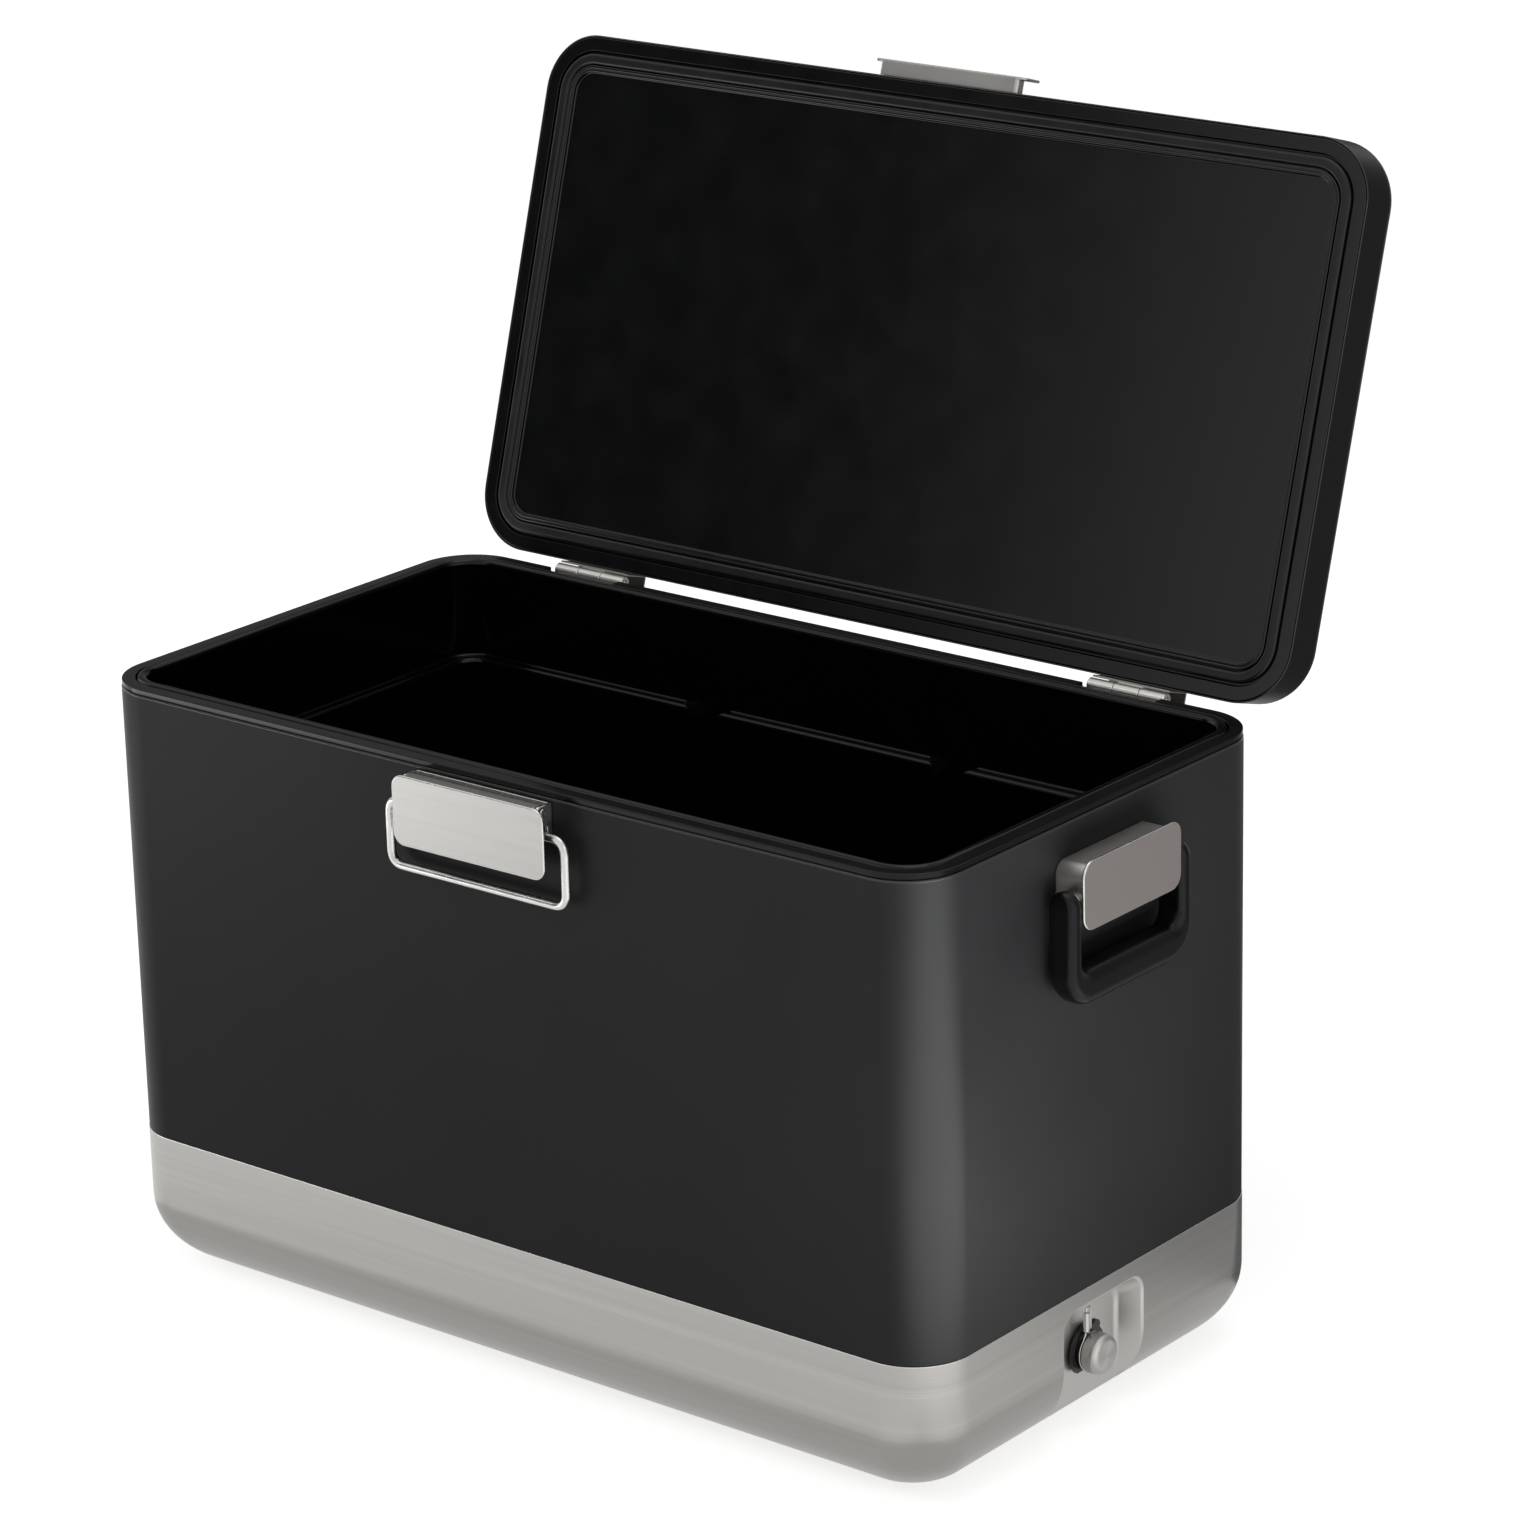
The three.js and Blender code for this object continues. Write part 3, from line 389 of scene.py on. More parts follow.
def pair_x(name, outline, near, far):
    """The same outline on both sides of the middle."""
    return [along_x(name, outline, -far, -near), along_x(name, outline, near, far)]


def block(name, start_x, end_x, start_y, end_y, start_z, end_z):
    outline = [(start_y, start_z), (end_y, start_z), (end_y, end_z), (start_y, end_z)]
    return along_x(name, outline, start_x, end_x)


def circle(radius, centre_a, centre_b):
    turns = [2 * pi * step / ROUND_STEPS for step in range(ROUND_STEPS)]
    return [(centre_a + radius * cos(turn), centre_b + radius * sin(turn)) for turn in turns]


def rod_x(name, radius, start, end, y, z):
    return along_x(name, circle(radius, y, z), start, end)


def rod_y(name, radius, start, end, x, z):
    return along_y(name, circle(radius, x, z), start, end)


def rounded(half, low, high, radius, steps=8):
    """Outline of a rounded box, centred on the first axis."""
    middle = (low + high) / 2
    flat = ring(half, (high - low) / 2, radius, 0, steps)
    return [(a, middle + b) for a, b, _ in flat]


def turned(name, profile, closed=False):
    """Turned about X from (radius, along) points; an open profile starts and ends on the axis."""
    points = []
    rows = []
    for radius, along in profile:
        if radius < TINY:
            rows.append([len(points)] * ROUND_STEPS)
            points.append((along, 0, 0))
        else:
            rows.append(range(len(points), len(points) + ROUND_STEPS))
            points += [(along, a, b) for a, b in circle(radius, 0, 0)]
    return solid(name, points, row_faces(rows, closed))


def turned_rod(name, radius, start, end, edge=PIN_EDGE):
    """A rod along X with an edge broken at each end."""
    return turned(name, [
        (0, start),
        (radius - edge, start),
        (radius, start + edge),
        (radius, end - edge),
        (radius - edge, end),
        (0, end),
    ])


def made_mesh(piece):
    """The mesh that a piece's modifiers or curve make."""
    graph = bpy.context.evaluated_depsgraph_get()
    return bpy.data.meshes.new_from_object(piece.evaluated_get(graph))


def settle(piece):
    spent = piece.data
    mesh = made_mesh(piece)
    piece.modifiers.clear()
    piece.data = mesh
    bpy.data.meshes.remove(spent)
    return piece


def combine(operation, piece, tools):
    for tool in tools:
        change = piece.modifiers.new(operation, "BOOLEAN")
        change.operation = operation
        change.solver = "MANIFOLD"
        change.object = tool
    settle(piece)
    for tool in tools:
        bpy.data.objects.remove(tool, do_unlink=True)
    return piece


def cut(piece, *tools):
    return combine("DIFFERENCE", piece, tools)


def join(piece, *tools):
    return combine("UNION", piece, tools)


def common(piece, tool):
    return combine("INTERSECT", piece, [tool])


def soften(piece, width, segments, angle=35):
    """Rounds every edge sharper than the angle."""
    change = piece.modifiers.new("edges", "BEVEL")
    change.width = width * MM
    change.segments = segments
    change.limit_method = "ANGLE"
    change.angle_limit = radians(angle)
    return settle(piece)


def shade(piece, angle):
    def smooth(shape):
        for edge in shape.edges:
            edge.smooth = len(edge.link_faces) == 2 and edge.calc_face_angle() < radians(angle)
        for face in shape.faces:
            face.smooth = True

    rework(piece.data, smooth)
    change = piece.modifiers.new("normals", "WEIGHTED_NORMAL")
    change.keep_sharp = True
    change.weight = 80
    return settle(piece)


def wire(name, points, radius, bend, steps=8):
    """A round wire along straight runs joined by bends."""
    path = [Vector(points[0])]
    for before, here, after in zip(points, points[1:], points[2:]):
        corner = Vector(here)
        enter = corner + (Vector(before) - corner).normalized() * bend
        leave = corner + (Vector(after) - corner).normalized() * bend
        for step in range(steps + 1):
            share = step / steps
            first = enter.lerp(corner, share)
            path.append(first.lerp(corner.lerp(leave, share), share))
    path.append(Vector(points[-1]))
    return tube(name, path, radius)


def tube(name, path, radius):
    line = bpy.data.curves.new(name, "CURVE")
    line.dimensions = "3D"
    line.bevel_depth = radius * MM
    line.bevel_resolution = 5
    line.use_fill_caps = True
    spline = line.splines.new("POLY")
    spline.points.add(len(path) - 1)
    for point, place in zip(spline.points, path):
        point.co = (*(place * MM), 1)
    drawn = add_object(name + "_path", line)
    mesh = made_mesh(drawn)
    rework(mesh, lambda shape: bmesh.ops.remove_doubles(shape, verts=shape.verts, dist=TINY))
    bpy.data.objects.remove(drawn, do_unlink=True)
    return add_object(name, mesh)


# Materials

def feed(tree, socket, value):
    """Sets an input to a value, or links it to another node's output."""
    if isinstance(value, bpy.types.NodeSocket):
        tree.links.new(value, socket)
    else:
        socket.default_value = value


def add_node(tree, kind, inputs=None, **modes):
    node = tree.nodes.new("ShaderNode" + kind)
    for mode, value in modes.items():
        setattr(node, mode, value)
    for name, value in (inputs or {}).items():
        feed(tree, node.inputs[name], value)
    return node


def add_ramp(tree, value, start, end, low, high, **modes):
    """Maps one range onto another and returns the result."""
    return add_node(tree, "MapRange", {
        "Value": value,
        "From Min": start,
        "From Max": end,
        "To Min": low,
        "To Max": high,
    }, **modes).outputs["Result"]


class Finish:
    """A material and the node moves that the finishes share."""

    def __init__(self, name, color, roughness, metallic=0.0, specular=0.5):
        self.material = bpy.data.materials.new(name)
        self.material.use_nodes = True
        self.tree = self.material.node_tree
        self.surface = self.tree.nodes["Principled BSDF"].inputs
        self.color = color
        self.feed("Base Color", (*color, 1))
        self.feed("Roughness", roughness)
        self.feed("Metallic", metallic)
        self.feed("Specular IOR Level", specular)
        self.place = self.node("TexCoord").outputs["Object"]
        self.bump = None

    def node(self, kind, inputs=None, **modes):
        return add_node(self.tree, kind, inputs, **modes)

    def feed(self, name, value):
        feed(self.tree, self.surface[name], value)

    def noise(self, scale, detail, rough=0.5):
        """Noise with its own scale, in repeats per metre, along each axis."""
        mapping = self.node("Mapping", {"Vector": self.place, "Scale": scale})
        texture = self.node("TexNoise", {
            "Vector": mapping.outputs["Vector"],
            "Scale": 1,
            "Detail": detail,
            "Roughness": rough,
        })
        return texture.outputs["Fac"]

    def even_noise(self, scale, detail):
        return self.noise((scale, scale, scale), detail)

    def spread(self, value, low, high):
        """Stretches the middle of a noise over a range."""
        return add_ramp(self.tree, value, 0.3, 0.7, low, high)

    def shade_by(self, value, low, high):
        """Base colour runs from low to high times itself with the value."""
        mix = self.node("Mix", {
            "A": (*(channel * low for channel in self.color), 1),
            "B": (*(min(1, channel * high) for channel in self.color), 1),
            "Factor": self.spread(value, 0, 1),
        }, data_type="RGBA")
        self.feed("Base Color", mix.outputs["Result"])

    def roughen(self, value, low, high):
        self.feed("Roughness", self.spread(value, low, high))

    def raise_by(self, value, depth, strength=1.0):
        """Adds relief of a depth in millimetres."""
        relief = {"Distance": depth * MM, "Strength": strength, "Height": value}
        if self.bump:
            relief["Normal"] = self.bump
        self.bump = self.node("Bump", relief).outputs["Normal"]
        self.feed("Normal", self.bump)

    def mean(self, first, second):
        half = self.node("Math", {0: second, 1: 0.5}, operation="MULTIPLY").outputs["Value"]
        return self.node("Math", {0: first, 1: 0.5, 2: half}, operation="MULTIPLY_ADD").outputs["Value"]


def powder_coat(name, color, specular, roughness=0.4):
    finish = Finish(name, color, roughness, 0.0, specular)
    grain = finish.even_noise(1500, 2)
    cloud = finish.even_noise(14, 3)
    finish.shade_by(finish.mean(cloud, grain), 0.86, 1.14)
    finish.roughen(cloud, roughness - 0.03, roughness + 0.03)
    finish.raise_by(grain, 0.04, 0.6)
    return finish.material


def brushed(name, color, roughness, fine, broad, depth=0.004, contrast=0.08):
    """Steel brushed along the axes whose scale is small."""
    finish = Finish(name, color, roughness, 1.0)
    lines = finish.noise(fine, 3, 0.6)
    blend = finish.mean(lines, finish.noise(broad, 2))
    finish.shade_by(blend, 1 - contrast, 1 + contrast)
    finish.roughen(lines, roughness - 0.02, roughness + 0.03)
    finish.raise_by(lines, depth, 0.7)
    return finish.material


def polished(name, color, roughness):
    finish = Finish(name, color, roughness, 1.0)
    haze = finish.even_noise(90, 3)
    scratch = finish.noise((900, 60, 900), 2)
    finish.shade_by(haze, 0.95, 1.04)
    finish.roughen(haze, roughness * 0.8, roughness * 1.4)
    finish.raise_by(scratch, 0.002, 0.5)
    return finish.material


def moulded(name, color, roughness, specular, grain_depth, wave_depth=0.0):
    finish = Finish(name, color, roughness, 0.0, specular)
    cloud = finish.even_noise(30, 3)
    grain = finish.even_noise(1800, 2)
    finish.shade_by(cloud, 0.9, 1.1)
    finish.roughen(cloud, roughness * 0.85, roughness * 1.2)
    finish.raise_by(grain, grain_depth, 0.5)
    if wave_depth:
        finish.raise_by(finish.even_noise(9, 1), wave_depth)
    return finish.material


def satin(name, color, roughness):
    finish = Finish(name, color, roughness, 1.0)
    cloud = finish.even_noise(14, 2)
    finish.shade_by(cloud, 0.97, 1.03)
    finish.roughen(cloud, roughness - 0.01, roughness + 0.02)
    finish.raise_by(finish.even_noise(60, 1), 0.001, 0.3)
    return finish.material


def spun(name, color, roughness):
    """Steel turned about X: rings on the face and round the side."""
    finish = Finish(name, color, roughness, 1.0)
    apart = finish.node("SeparateXYZ", {"Vector": finish.place}).outputs
    across = finish.node("CombineXYZ", {"Y": apart["Y"], "Z": apart["Z"]}).outputs["Vector"]
    radius = finish.node("VectorMath", {0: across}, operation="LENGTH").outputs["Value"]
    finish.place = finish.node("CombineXYZ", {"Y": radius, "X": apart["X"]}).outputs["Vector"]
    lines = finish.noise((3500, 3500, 1), 2, 0.6)
    finish.shade_by(lines, 0.93, 1.05)
    finish.roughen(lines, roughness - 0.04, roughness + 0.05)
    finish.raise_by(lines, 0.003, 0.5)
    finish.feed("Tangent", finish.node("Tangent", direction_type="RADIAL", axis="X").outputs["Tangent"])
    finish.feed("Anisotropic", 0.72)
    return finish.material


ALONG_BODY = (5, 5, 2600)
ALONG_BODY_BROAD = (1.5, 1.5, 170)

# Its maker, its name and colour, then what the maker takes
FINISHES = {}
for make_finish, finish_name, *values in [
    (powder_coat, "shell_paint", (0.0092, 0.0094, 0.0099), 0.085),
    # A lighter, glossier copy of the shell paint, which paints a highlight along the hems
    (powder_coat, "hem_paint", (0.012, 0.0122, 0.0128), 0.5, 0.24),
    (brushed, "belt_steel", (0.38, 0.368, 0.352), 0.3, ALONG_BODY, ALONG_BODY_BROAD, 0.0012, 0.1),
    (brushed, "plate_steel", (0.37, 0.361, 0.348), 0.34, (24, 24, 2200), (4, 4, 120), 0.003, 0.06),
    (brushed, "cover_steel", (0.53, 0.487, 0.465), 0.38, (2400, 60, 2400), (40, 40, 40), 0.0004, 0.025),
    (brushed, "bracket_steel", (0.56, 0.543, 0.517), 0.38, (2400, 30, 40), (90, 6, 6), 0.0012, 0.04),
    (brushed, "roll_steel", (0.5, 0.485, 0.465), 0.2, (30, 2600, 2600), (4, 120, 120), 0.002, 0.06),
    (brushed, "hinge_steel", (0.52, 0.51, 0.49), 0.32, (40, 2400, 2400), (60, 60, 60), 0.003, 0.07),
    (brushed, "leaf_steel", (0.3, 0.285, 0.265), 0.42, (40, 2400, 2400), (60, 60, 60), 0.003, 0.08),
    # Satin steel for the drain recess, lighter than the belt: its colour paints the recess's brighter
    # reflection
    (satin, "recess_steel", (0.535, 0.525, 0.507), 0.39),
    (polished, "bright_steel", (0.56, 0.555, 0.54), 0.22),
    (spun, "cap_steel", (0.46, 0.45, 0.435), 0.38),
    (moulded, "tub_plastic", (0.0012, 0.0012, 0.0013), 0.12, 0.2, 0.001, 0.1),
    (moulded, "lid_plastic", (0.0026, 0.0029, 0.0031), 0.16, 0.34, 0.001, 0.08),
    (moulded, "rim_plastic", (0.0022, 0.0022, 0.0023), 0.17, 0.22, 0.003),
    (moulded, "drain_plastic", (0.0045, 0.0045, 0.0045), 0.14, 0.45, 0.002),
    (moulded, "grip_rubber", (0.0032, 0.0033, 0.0035), 0.28, 0.2, 0.006),
    (moulded, "seal_rubber", (0.0045, 0.0048, 0.005), 0.32, 0.28, 0.01),
    (moulded, "insulation", (0.66, 0.58, 0.38), 0.85, 0.2, 0.12),
]:
    FINISHES[finish_name] = make_finish(finish_name, *values)


def dress(piece, finish, body, node, place=None, angle=SMOOTH_ANGLE):
    """Shades and places a piece and gives its finish, the body that it rides on, and the CAD node that it
    replaces."""
    shade(piece, angle)
    if place:
        piece.matrix_world = place
    piece.data.materials.clear()
    piece.data.materials.append(FINISHES[finish])
    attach(piece, body)
    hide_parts(node)
    return piece


def refinish(piece, finish, chosen):
    """Gives a second finish to the faces that the test picks, by centre in millimetres and normal."""
    piece.data.materials.append(FINISHES[finish])
    index = len(piece.data.materials) - 1
    for face in piece.data.polygons:
        if chosen(face.center / MM, face.normal):
            face.material_index = index


# Casing

def make_band():
    lap = SHEET + GAP - PROUD
    return around("painted_band", [
        (BAND_EDGE, SEAM + GAP),
        (BAND_CHAMFER, SEAM + GAP + BAND_CHAMFER),
        (0, SEAM + GAP + BAND_EDGE),
        *arc(HEM, SHELL_TOP - HEM, HEM, 180, 90),
        (FLANGE, SHELL_TOP),
        (FLANGE, SHELL_TOP - SHEET),
        (SHEET, SHELL_TOP - SHEET),
        (SHEET, SEAM + JOGGLE),
        (lap + SHEET, SEAM),
        (lap + SHEET, SEAM - LAP),
        (lap, SEAM - LAP),
        (lap, SEAM + GAP),
    ])


def pan_rings(offset):
    radius = PAN_EDGE - offset
    rings = []
    for step in range(PAN_STEPS + 1):
        angle = step / PAN_STEPS * QUARTER
        inset = PAN_EDGE - radius * sin(angle) - PROUD
        z = PAN_EDGE - radius * cos(angle)
        corner = CORNER + PROUD - offset
        plan = PAN_FLOOR_CORNER + (corner - PAN_FLOOR_CORNER) * sin(angle)
        rings.append(ring(HALF_X - inset, HALF_Y - inset, plan, z))
    return rings


def end_face(z):
    """How far out the belt's end stands at a height."""
    drop = PAN_EDGE - min(PAN_EDGE, max(0, z))
    return HALF_X + PROUD - PAN_EDGE + sqrt(PAN_EDGE ** 2 - drop ** 2)


def make_recess(offset):
    """A hollow with a rounded foot and mouth, which grows shallow where the belt curves in below it."""
    floor_x = HALF_X - RECESS_DEPTH - offset
    mouth = RECESS_MOUTH_HALF - RECESS_FLOOR_HALF
    profile = arc(RECESS_FOOT, -RECESS_FOOT_IN, RECESS_FOOT, 180, 112, 5)
    profile += arc(RECESS_DEPTH - RECESS_LIP, mouth, RECESS_LIP, -68, -15, 5)
    profile.append((RECESS_DEPTH + RECESS_EXIT, mouth + RECESS_EXIT_SPREAD))
    rings = []
    for rise, spread in profile:
        share = rise / RECESS_DEPTH
        rings.append(arch(
            spread + offset,
            lambda z: floor_x + share * max(RECESS_LEAST, end_face(z) - floor_x),
        ))
    rings.append(arch(mouth + RECESS_OPEN + offset, lambda z: HALF_X + OVER + offset))
    return loft("recess", rings)


def arch(spread, place):
    """The recess in section, wider by the spread; place gives the X of a height."""
    half = RECESS_FLOOR_HALF + spread
    spring = RECESS_FLOOR_TOP + spread - RECESS_CORNER
    low = -2 * RECESS_CORNER
    outline = [(half, low + (spring - low) * step / ARCH_STEPS) for step in range(ARCH_STEPS)]
    outline += arc(half - RECESS_CORNER, spring, RECESS_CORNER, 0, 90, 10)
    outline += [(-a, b) for a, b in reversed(outline)]
    return [(place(b), a, b) for a, b in outline]


def spout_hole(start, end):
    return rod_x("hole", SPOUT_RADIUS + GAP, start, end, 0, DRAIN_Z)


def make_pan():
    edge = SHEET / 2
    lip = plan_rings(arc(edge - PROUD, SEAM - edge, edge, 180, 0))
    skin = loft("steel_pan", pan_rings(0) + lip + pan_rings(SHEET)[::-1])
    dent = common(make_recess(SHEET), loft("bulk", pan_rings(0) + [plan_ring(-PROUD, SEAM)]))
    return cut(join(skin, dent), make_recess(0), spout_hole(HALF_X - 2 * RECESS_DEPTH, HALF_X))


def in_recess(place, normal):
    deep = HALF_X - 2 * RECESS_DEPTH < place.x < end_face(place.z) - RECESS_WALL
    return deep and abs(place.y) < RECESS_HALF and RECESS_LOW < place.z < RECESS_HIGH


def tub_section(offset):
    low_inset = WALL_INSET + LEDGE_STEP + DRAFT - offset
    lip_inset = WALL_INSET + LEDGE_STEP - offset
    wall_inset = WALL_INSET - offset
    radius = FLOOR_RADIUS + offset
    floor = FLOOR - offset
    ledge = LEDGE - offset
    lip = max(LEDGE_LIP - offset, 0.01)
    fillet = LEDGE_FILLET + offset
    return [
        *arc(low_inset + radius, floor + radius, radius, 270, 180, 10),
        *arc(lip_inset - lip, ledge - lip, lip, 0, 90),
        *arc(wall_inset + fillet, ledge + fillet, fillet, 270, 180),
    ]


def make_channel(centre, offset):
    half = CHANNEL_HALF + offset
    flare = CHANNEL_FLARE - offset
    floor = FLOOR + FLOOR_RADIUS - offset
    ledge = LEDGE - offset
    top = LEDGE + LEDGE_FILLET + offset
    reach = HALF_Y - WALL_INSET + offset
    outline = [(centre + a, b) for a, b in [
        (-half, floor),
        (half, floor),
        *arc(half + flare, ledge - flare, flare, 180, 90, 10),
        (half + flare, top),
        (-half - flare, top),
        *arc(-half - flare, ledge - flare, flare, 90, 0, 10),
    ]]
    return along_y("channel", outline, -reach, reach)


def make_hollow(offset, top_section):
    tub = loft("hollow", plan_rings(tub_section(offset) + top_section))
    channels = [make_channel(side * CHANNEL_SPACING / 2, offset) for side in (-1, 1)]
    wall = HALF_X - WALL_INSET - LEDGE_STEP - DRAFT
    pocket = rod_x("pocket", POCKET_RADIUS + offset, 0, wall + POCKET_DEPTH + offset, 0, DRAIN_Z)
    return join(tub, *channels, pocket)


def make_tub():
    bead = (WALL_INSET - BEAD_OUTER) / 2
    low = SHELL_TOP - COLLAR_LIP_DEPTH
    crown = arc(BEAD_OUTER + bead, RIM_TOP - bead, bead, 180, 95)
    mouth = arc(WALL_INSET - bead, RIM_TOP - bead, bead, 0, 85)
    outside = make_hollow(WALL, [(WALL_INSET - WALL, low), (BEAD_OUTER, low + WALL), *crown])
    inside = make_hollow(0, [*mouth, (mouth[-1][0], RIM_TOP + OVER)])
    soften(inside, CHANNEL_EDGE, 4, 50)
    outside.name = "moulded_tub"
    return cut(outside, inside, spout_hole(0, HALF_X))


def make_foam():
    skin = SHEET + GAP
    lap = 2 * skin - PROUD
    top = SHELL_TOP - COLLAR_LIP_DEPTH - GAP
    rings = pan_rings(skin)
    rings += plan_rings([(skin - PROUD, SEAM - LAP - GAP), (lap, SEAM - LAP), (lap, top)])
    tub = make_hollow(WALL + GAP, [(WALL_INSET - WALL - GAP, top + OVER)])
    return cut(loft("foam_fill", rings), tub, make_recess(skin), spout_hole(0, HALF_X))


def make_collar():
    seat = SHELL_TOP + GAP
    top = SHELL_TOP + COLLAR_RISE
    low = SHELL_TOP - COLLAR_LIP_DEPTH
    edge = COLLAR_EDGE
    body = around("rim_strip", [
        (COLLAR_BACK + COLLAR_SHADOW, seat),
        (COLLAR_BACK + COLLAR_SHADOW, SHELL_TOP + COLLAR_SHADOW),
        (COLLAR_BACK + COLLAR_CHAMFER, SHELL_TOP + COLLAR_SHADOW),
        (COLLAR_BACK, SHELL_TOP + COLLAR_SHADOW + COLLAR_CHAMFER),
        *arc(COLLAR_BACK + edge, top - edge, edge, 180, 90, 4),
        *arc(COLLAR_INNER - edge, top - edge, edge, 90, 0, 4),
        (COLLAR_INNER, low),
        (COLLAR_INNER - COLLAR_LIP, low),
        (COLLAR_INNER - COLLAR_LIP, seat),
    ])
    half = HINGE_HALF + NOTCH_MARGIN
    front = HALF_Y - COLLAR_INNER + COLLAR_LIP
    for centre in (-HINGE_SPACING / 2, HINGE_SPACING / 2):
        cut(body, block("notch", centre - half, centre + half, front, HALF_Y + OVER, SHELL_TOP, RIM_TOP))
    return body


band = dress(make_band(), "shell_paint", "body", "outer_shell")
# The casing's hem takes the lighter, glossier paint: a painted highlight along its top edge
refinish(band, "hem_paint", lambda place, normal: place.z > SHELL_TOP - HEM)
pan = dress(make_pan(), "belt_steel", "body", "base_pan", angle=CURVED_ANGLE)
# The drain recess takes satin steel lighter than the belt: a smoother finish with a painted reflection
refinish(pan, "recess_steel", in_recess)
# The belt's top lip takes lighter polished steel: a painted highlight line along the seam
refinish(pan, "bright_steel", lambda place, normal: place.z > SEAM - BELT_LIP_HIGHLIGHT)
dress(make_foam(), "insulation", "body", "body_foam")
dress(make_tub(), "tub_plastic", "body", "liner")
dress(make_collar(), "rim_plastic", "body", "rim_collar")

# Drain

FLOOR_X = HALF_X - RECESS_DEPTH
WASHER_X = FLOOR_X + GAP
BEZEL_X = WASHER_X + WASHER_THICK + GAP
BEZEL_END = BEZEL_X + BEZEL_THICK
CAP_X = BEZEL_END + CAP_CLEARANCE
CAP_END = CAP_X + CAP_LENGTH
FERRULE_X = BEZEL_END + GAP + FERRULE_RADIUS
FERRULE_LOW = DRAIN_Z + CAP_RADIUS + FERRULE_CLEARANCE


def make_bezel():
    disc = rod_x("flange_nut", BEZEL_RADIUS, BEZEL_X, BEZEL_END, 0, DRAIN_Z)
    angle = LUG_SHARE * 2 * pi
    reach = LUG_REACH - LUG_RADIUS
    lug_z = DRAIN_Z + reach * sin(angle)
    join(disc, rod_x("lug", LUG_RADIUS, BEZEL_X, BEZEL_END, reach * cos(angle), lug_z))
    low = DRAIN_Z - BEZEL_FLAT
    flat = block("flat", BEZEL_X - 1, BEZEL_END + 1, -2 * BEZEL_RADIUS, 2 * BEZEL_RADIUS, 0, low)
    return soften(cut(disc, flat, spout_hole(BEZEL_X - 1, BEZEL_END + 1)), BEZEL_EDGE, 4)


def make_cap():
    bore = SPOUT_RADIUS + CAP_CLEARANCE
    return turned("screw_cap", [
        (bore, CAP_X),
        (CAP_NECK, CAP_X),
        (CAP_NECK, CAP_X + CAP_NECK_LENGTH),
        (CAP_RADIUS - PART_EDGE, CAP_X + CAP_NECK_LENGTH),
        (CAP_RADIUS, CAP_X + CAP_NECK_LENGTH + PART_EDGE),
        *arc(CAP_RADIUS - CAP_EDGE, CAP_END - CAP_EDGE, CAP_EDGE, 0, 90, 8),
        (0, CAP_END),
        (0, CAP_END - CAP_FACE),
        (bore, CAP_END - CAP_FACE),
    ], closed=True)


def make_ferrule():
    piece = turned_rod("crimp_ferrule", FERRULE_RADIUS, 0, FERRULE_LENGTH, PART_EDGE)
    piece.data.transform(shift(FERRULE_X, -FERRULE_OFFSET, FERRULE_LOW) @ rotate(-90, "Y"))
    return piece


def make_neck_loop():
    radius = CAP_NECK + GAP + TETHER
    lean = asin(FERRULE_OFFSET / radius)
    loop_x = CAP_X + CAP_NECK_LENGTH / 2
    end = FERRULE_LOW - GAP
    start = Vector((FERRULE_X, -FERRULE_OFFSET - TETHER_SPACING, end))
    finish = Vector((FERRULE_X, -FERRULE_OFFSET + TETHER_SPACING, end))
    drop = Vector((0, 0, -2 * TETHER))
    path = [start, start + drop]
    for step in range(2, LOOP_STEPS - 1):
        angle = QUARTER + lean + step / LOOP_STEPS * 2 * pi
        path.append(Vector((loop_x, radius * cos(angle), DRAIN_Z + radius * sin(angle))))
    path += [finish + drop, finish]
    return tube("neck_wire", path, TETHER)


def make_anchor_loop():
    top = FERRULE_LOW + FERRULE_LENGTH
    front = BEZEL_END + GAP
    low = DRAIN_Z + BEZEL_RADIUS - ANCHOR_ENTRY
    y = ANCHOR_REACH - FERRULE_OFFSET
    return wire("anchor_wire", [
        (FERRULE_X, -FERRULE_OFFSET, top + GAP),
        (FERRULE_X, -FERRULE_OFFSET, top + ANCHOR_RISE),
        (FERRULE_X, y, top + ANCHOR_RISE),
        (FERRULE_X, y, low),
        (front, y, low),
    ], TETHER, ANCHOR_BEND)


dress(make_bezel(), "drain_plastic", "body", "drain_bezel")
dress(make_cap(), "cap_steel", "cap", "drain_cap", shift(0, 0, DRAIN_Z), CURVED_ANGLE)
dress(make_ferrule(), "bright_steel", "cap", "tether_ferrule")
dress(make_neck_loop(), "bright_steel", "cap", "tether_neck_loop", angle=WIRE_ANGLE)
dress(make_anchor_loop(), "bright_steel", "cap", "tether_anchor_loop", angle=WIRE_ANGLE)

# Lid, drawn closed with its hem at height zero

PIVOT = shift(0, HINGE_Y, HINGE_Z) @ rotate(-LID_ANGLE, "X")
LID = PIVOT @ shift(0, -HINGE_Y, HINGE_DROP)


def lid_section(offset):
    radius = LID_EDGE - offset
    return arc(LID_EDGE, LID_HEIGHT - LID_EDGE, radius, 180, 90, 12)


def make_lid_shell():
    edge = SHEET / 2
    hem = arc(edge, edge, edge, 180, 360)
    return loft("lid_pan", plan_rings(lid_section(0)[::-1] + hem + lid_section(SHEET)))


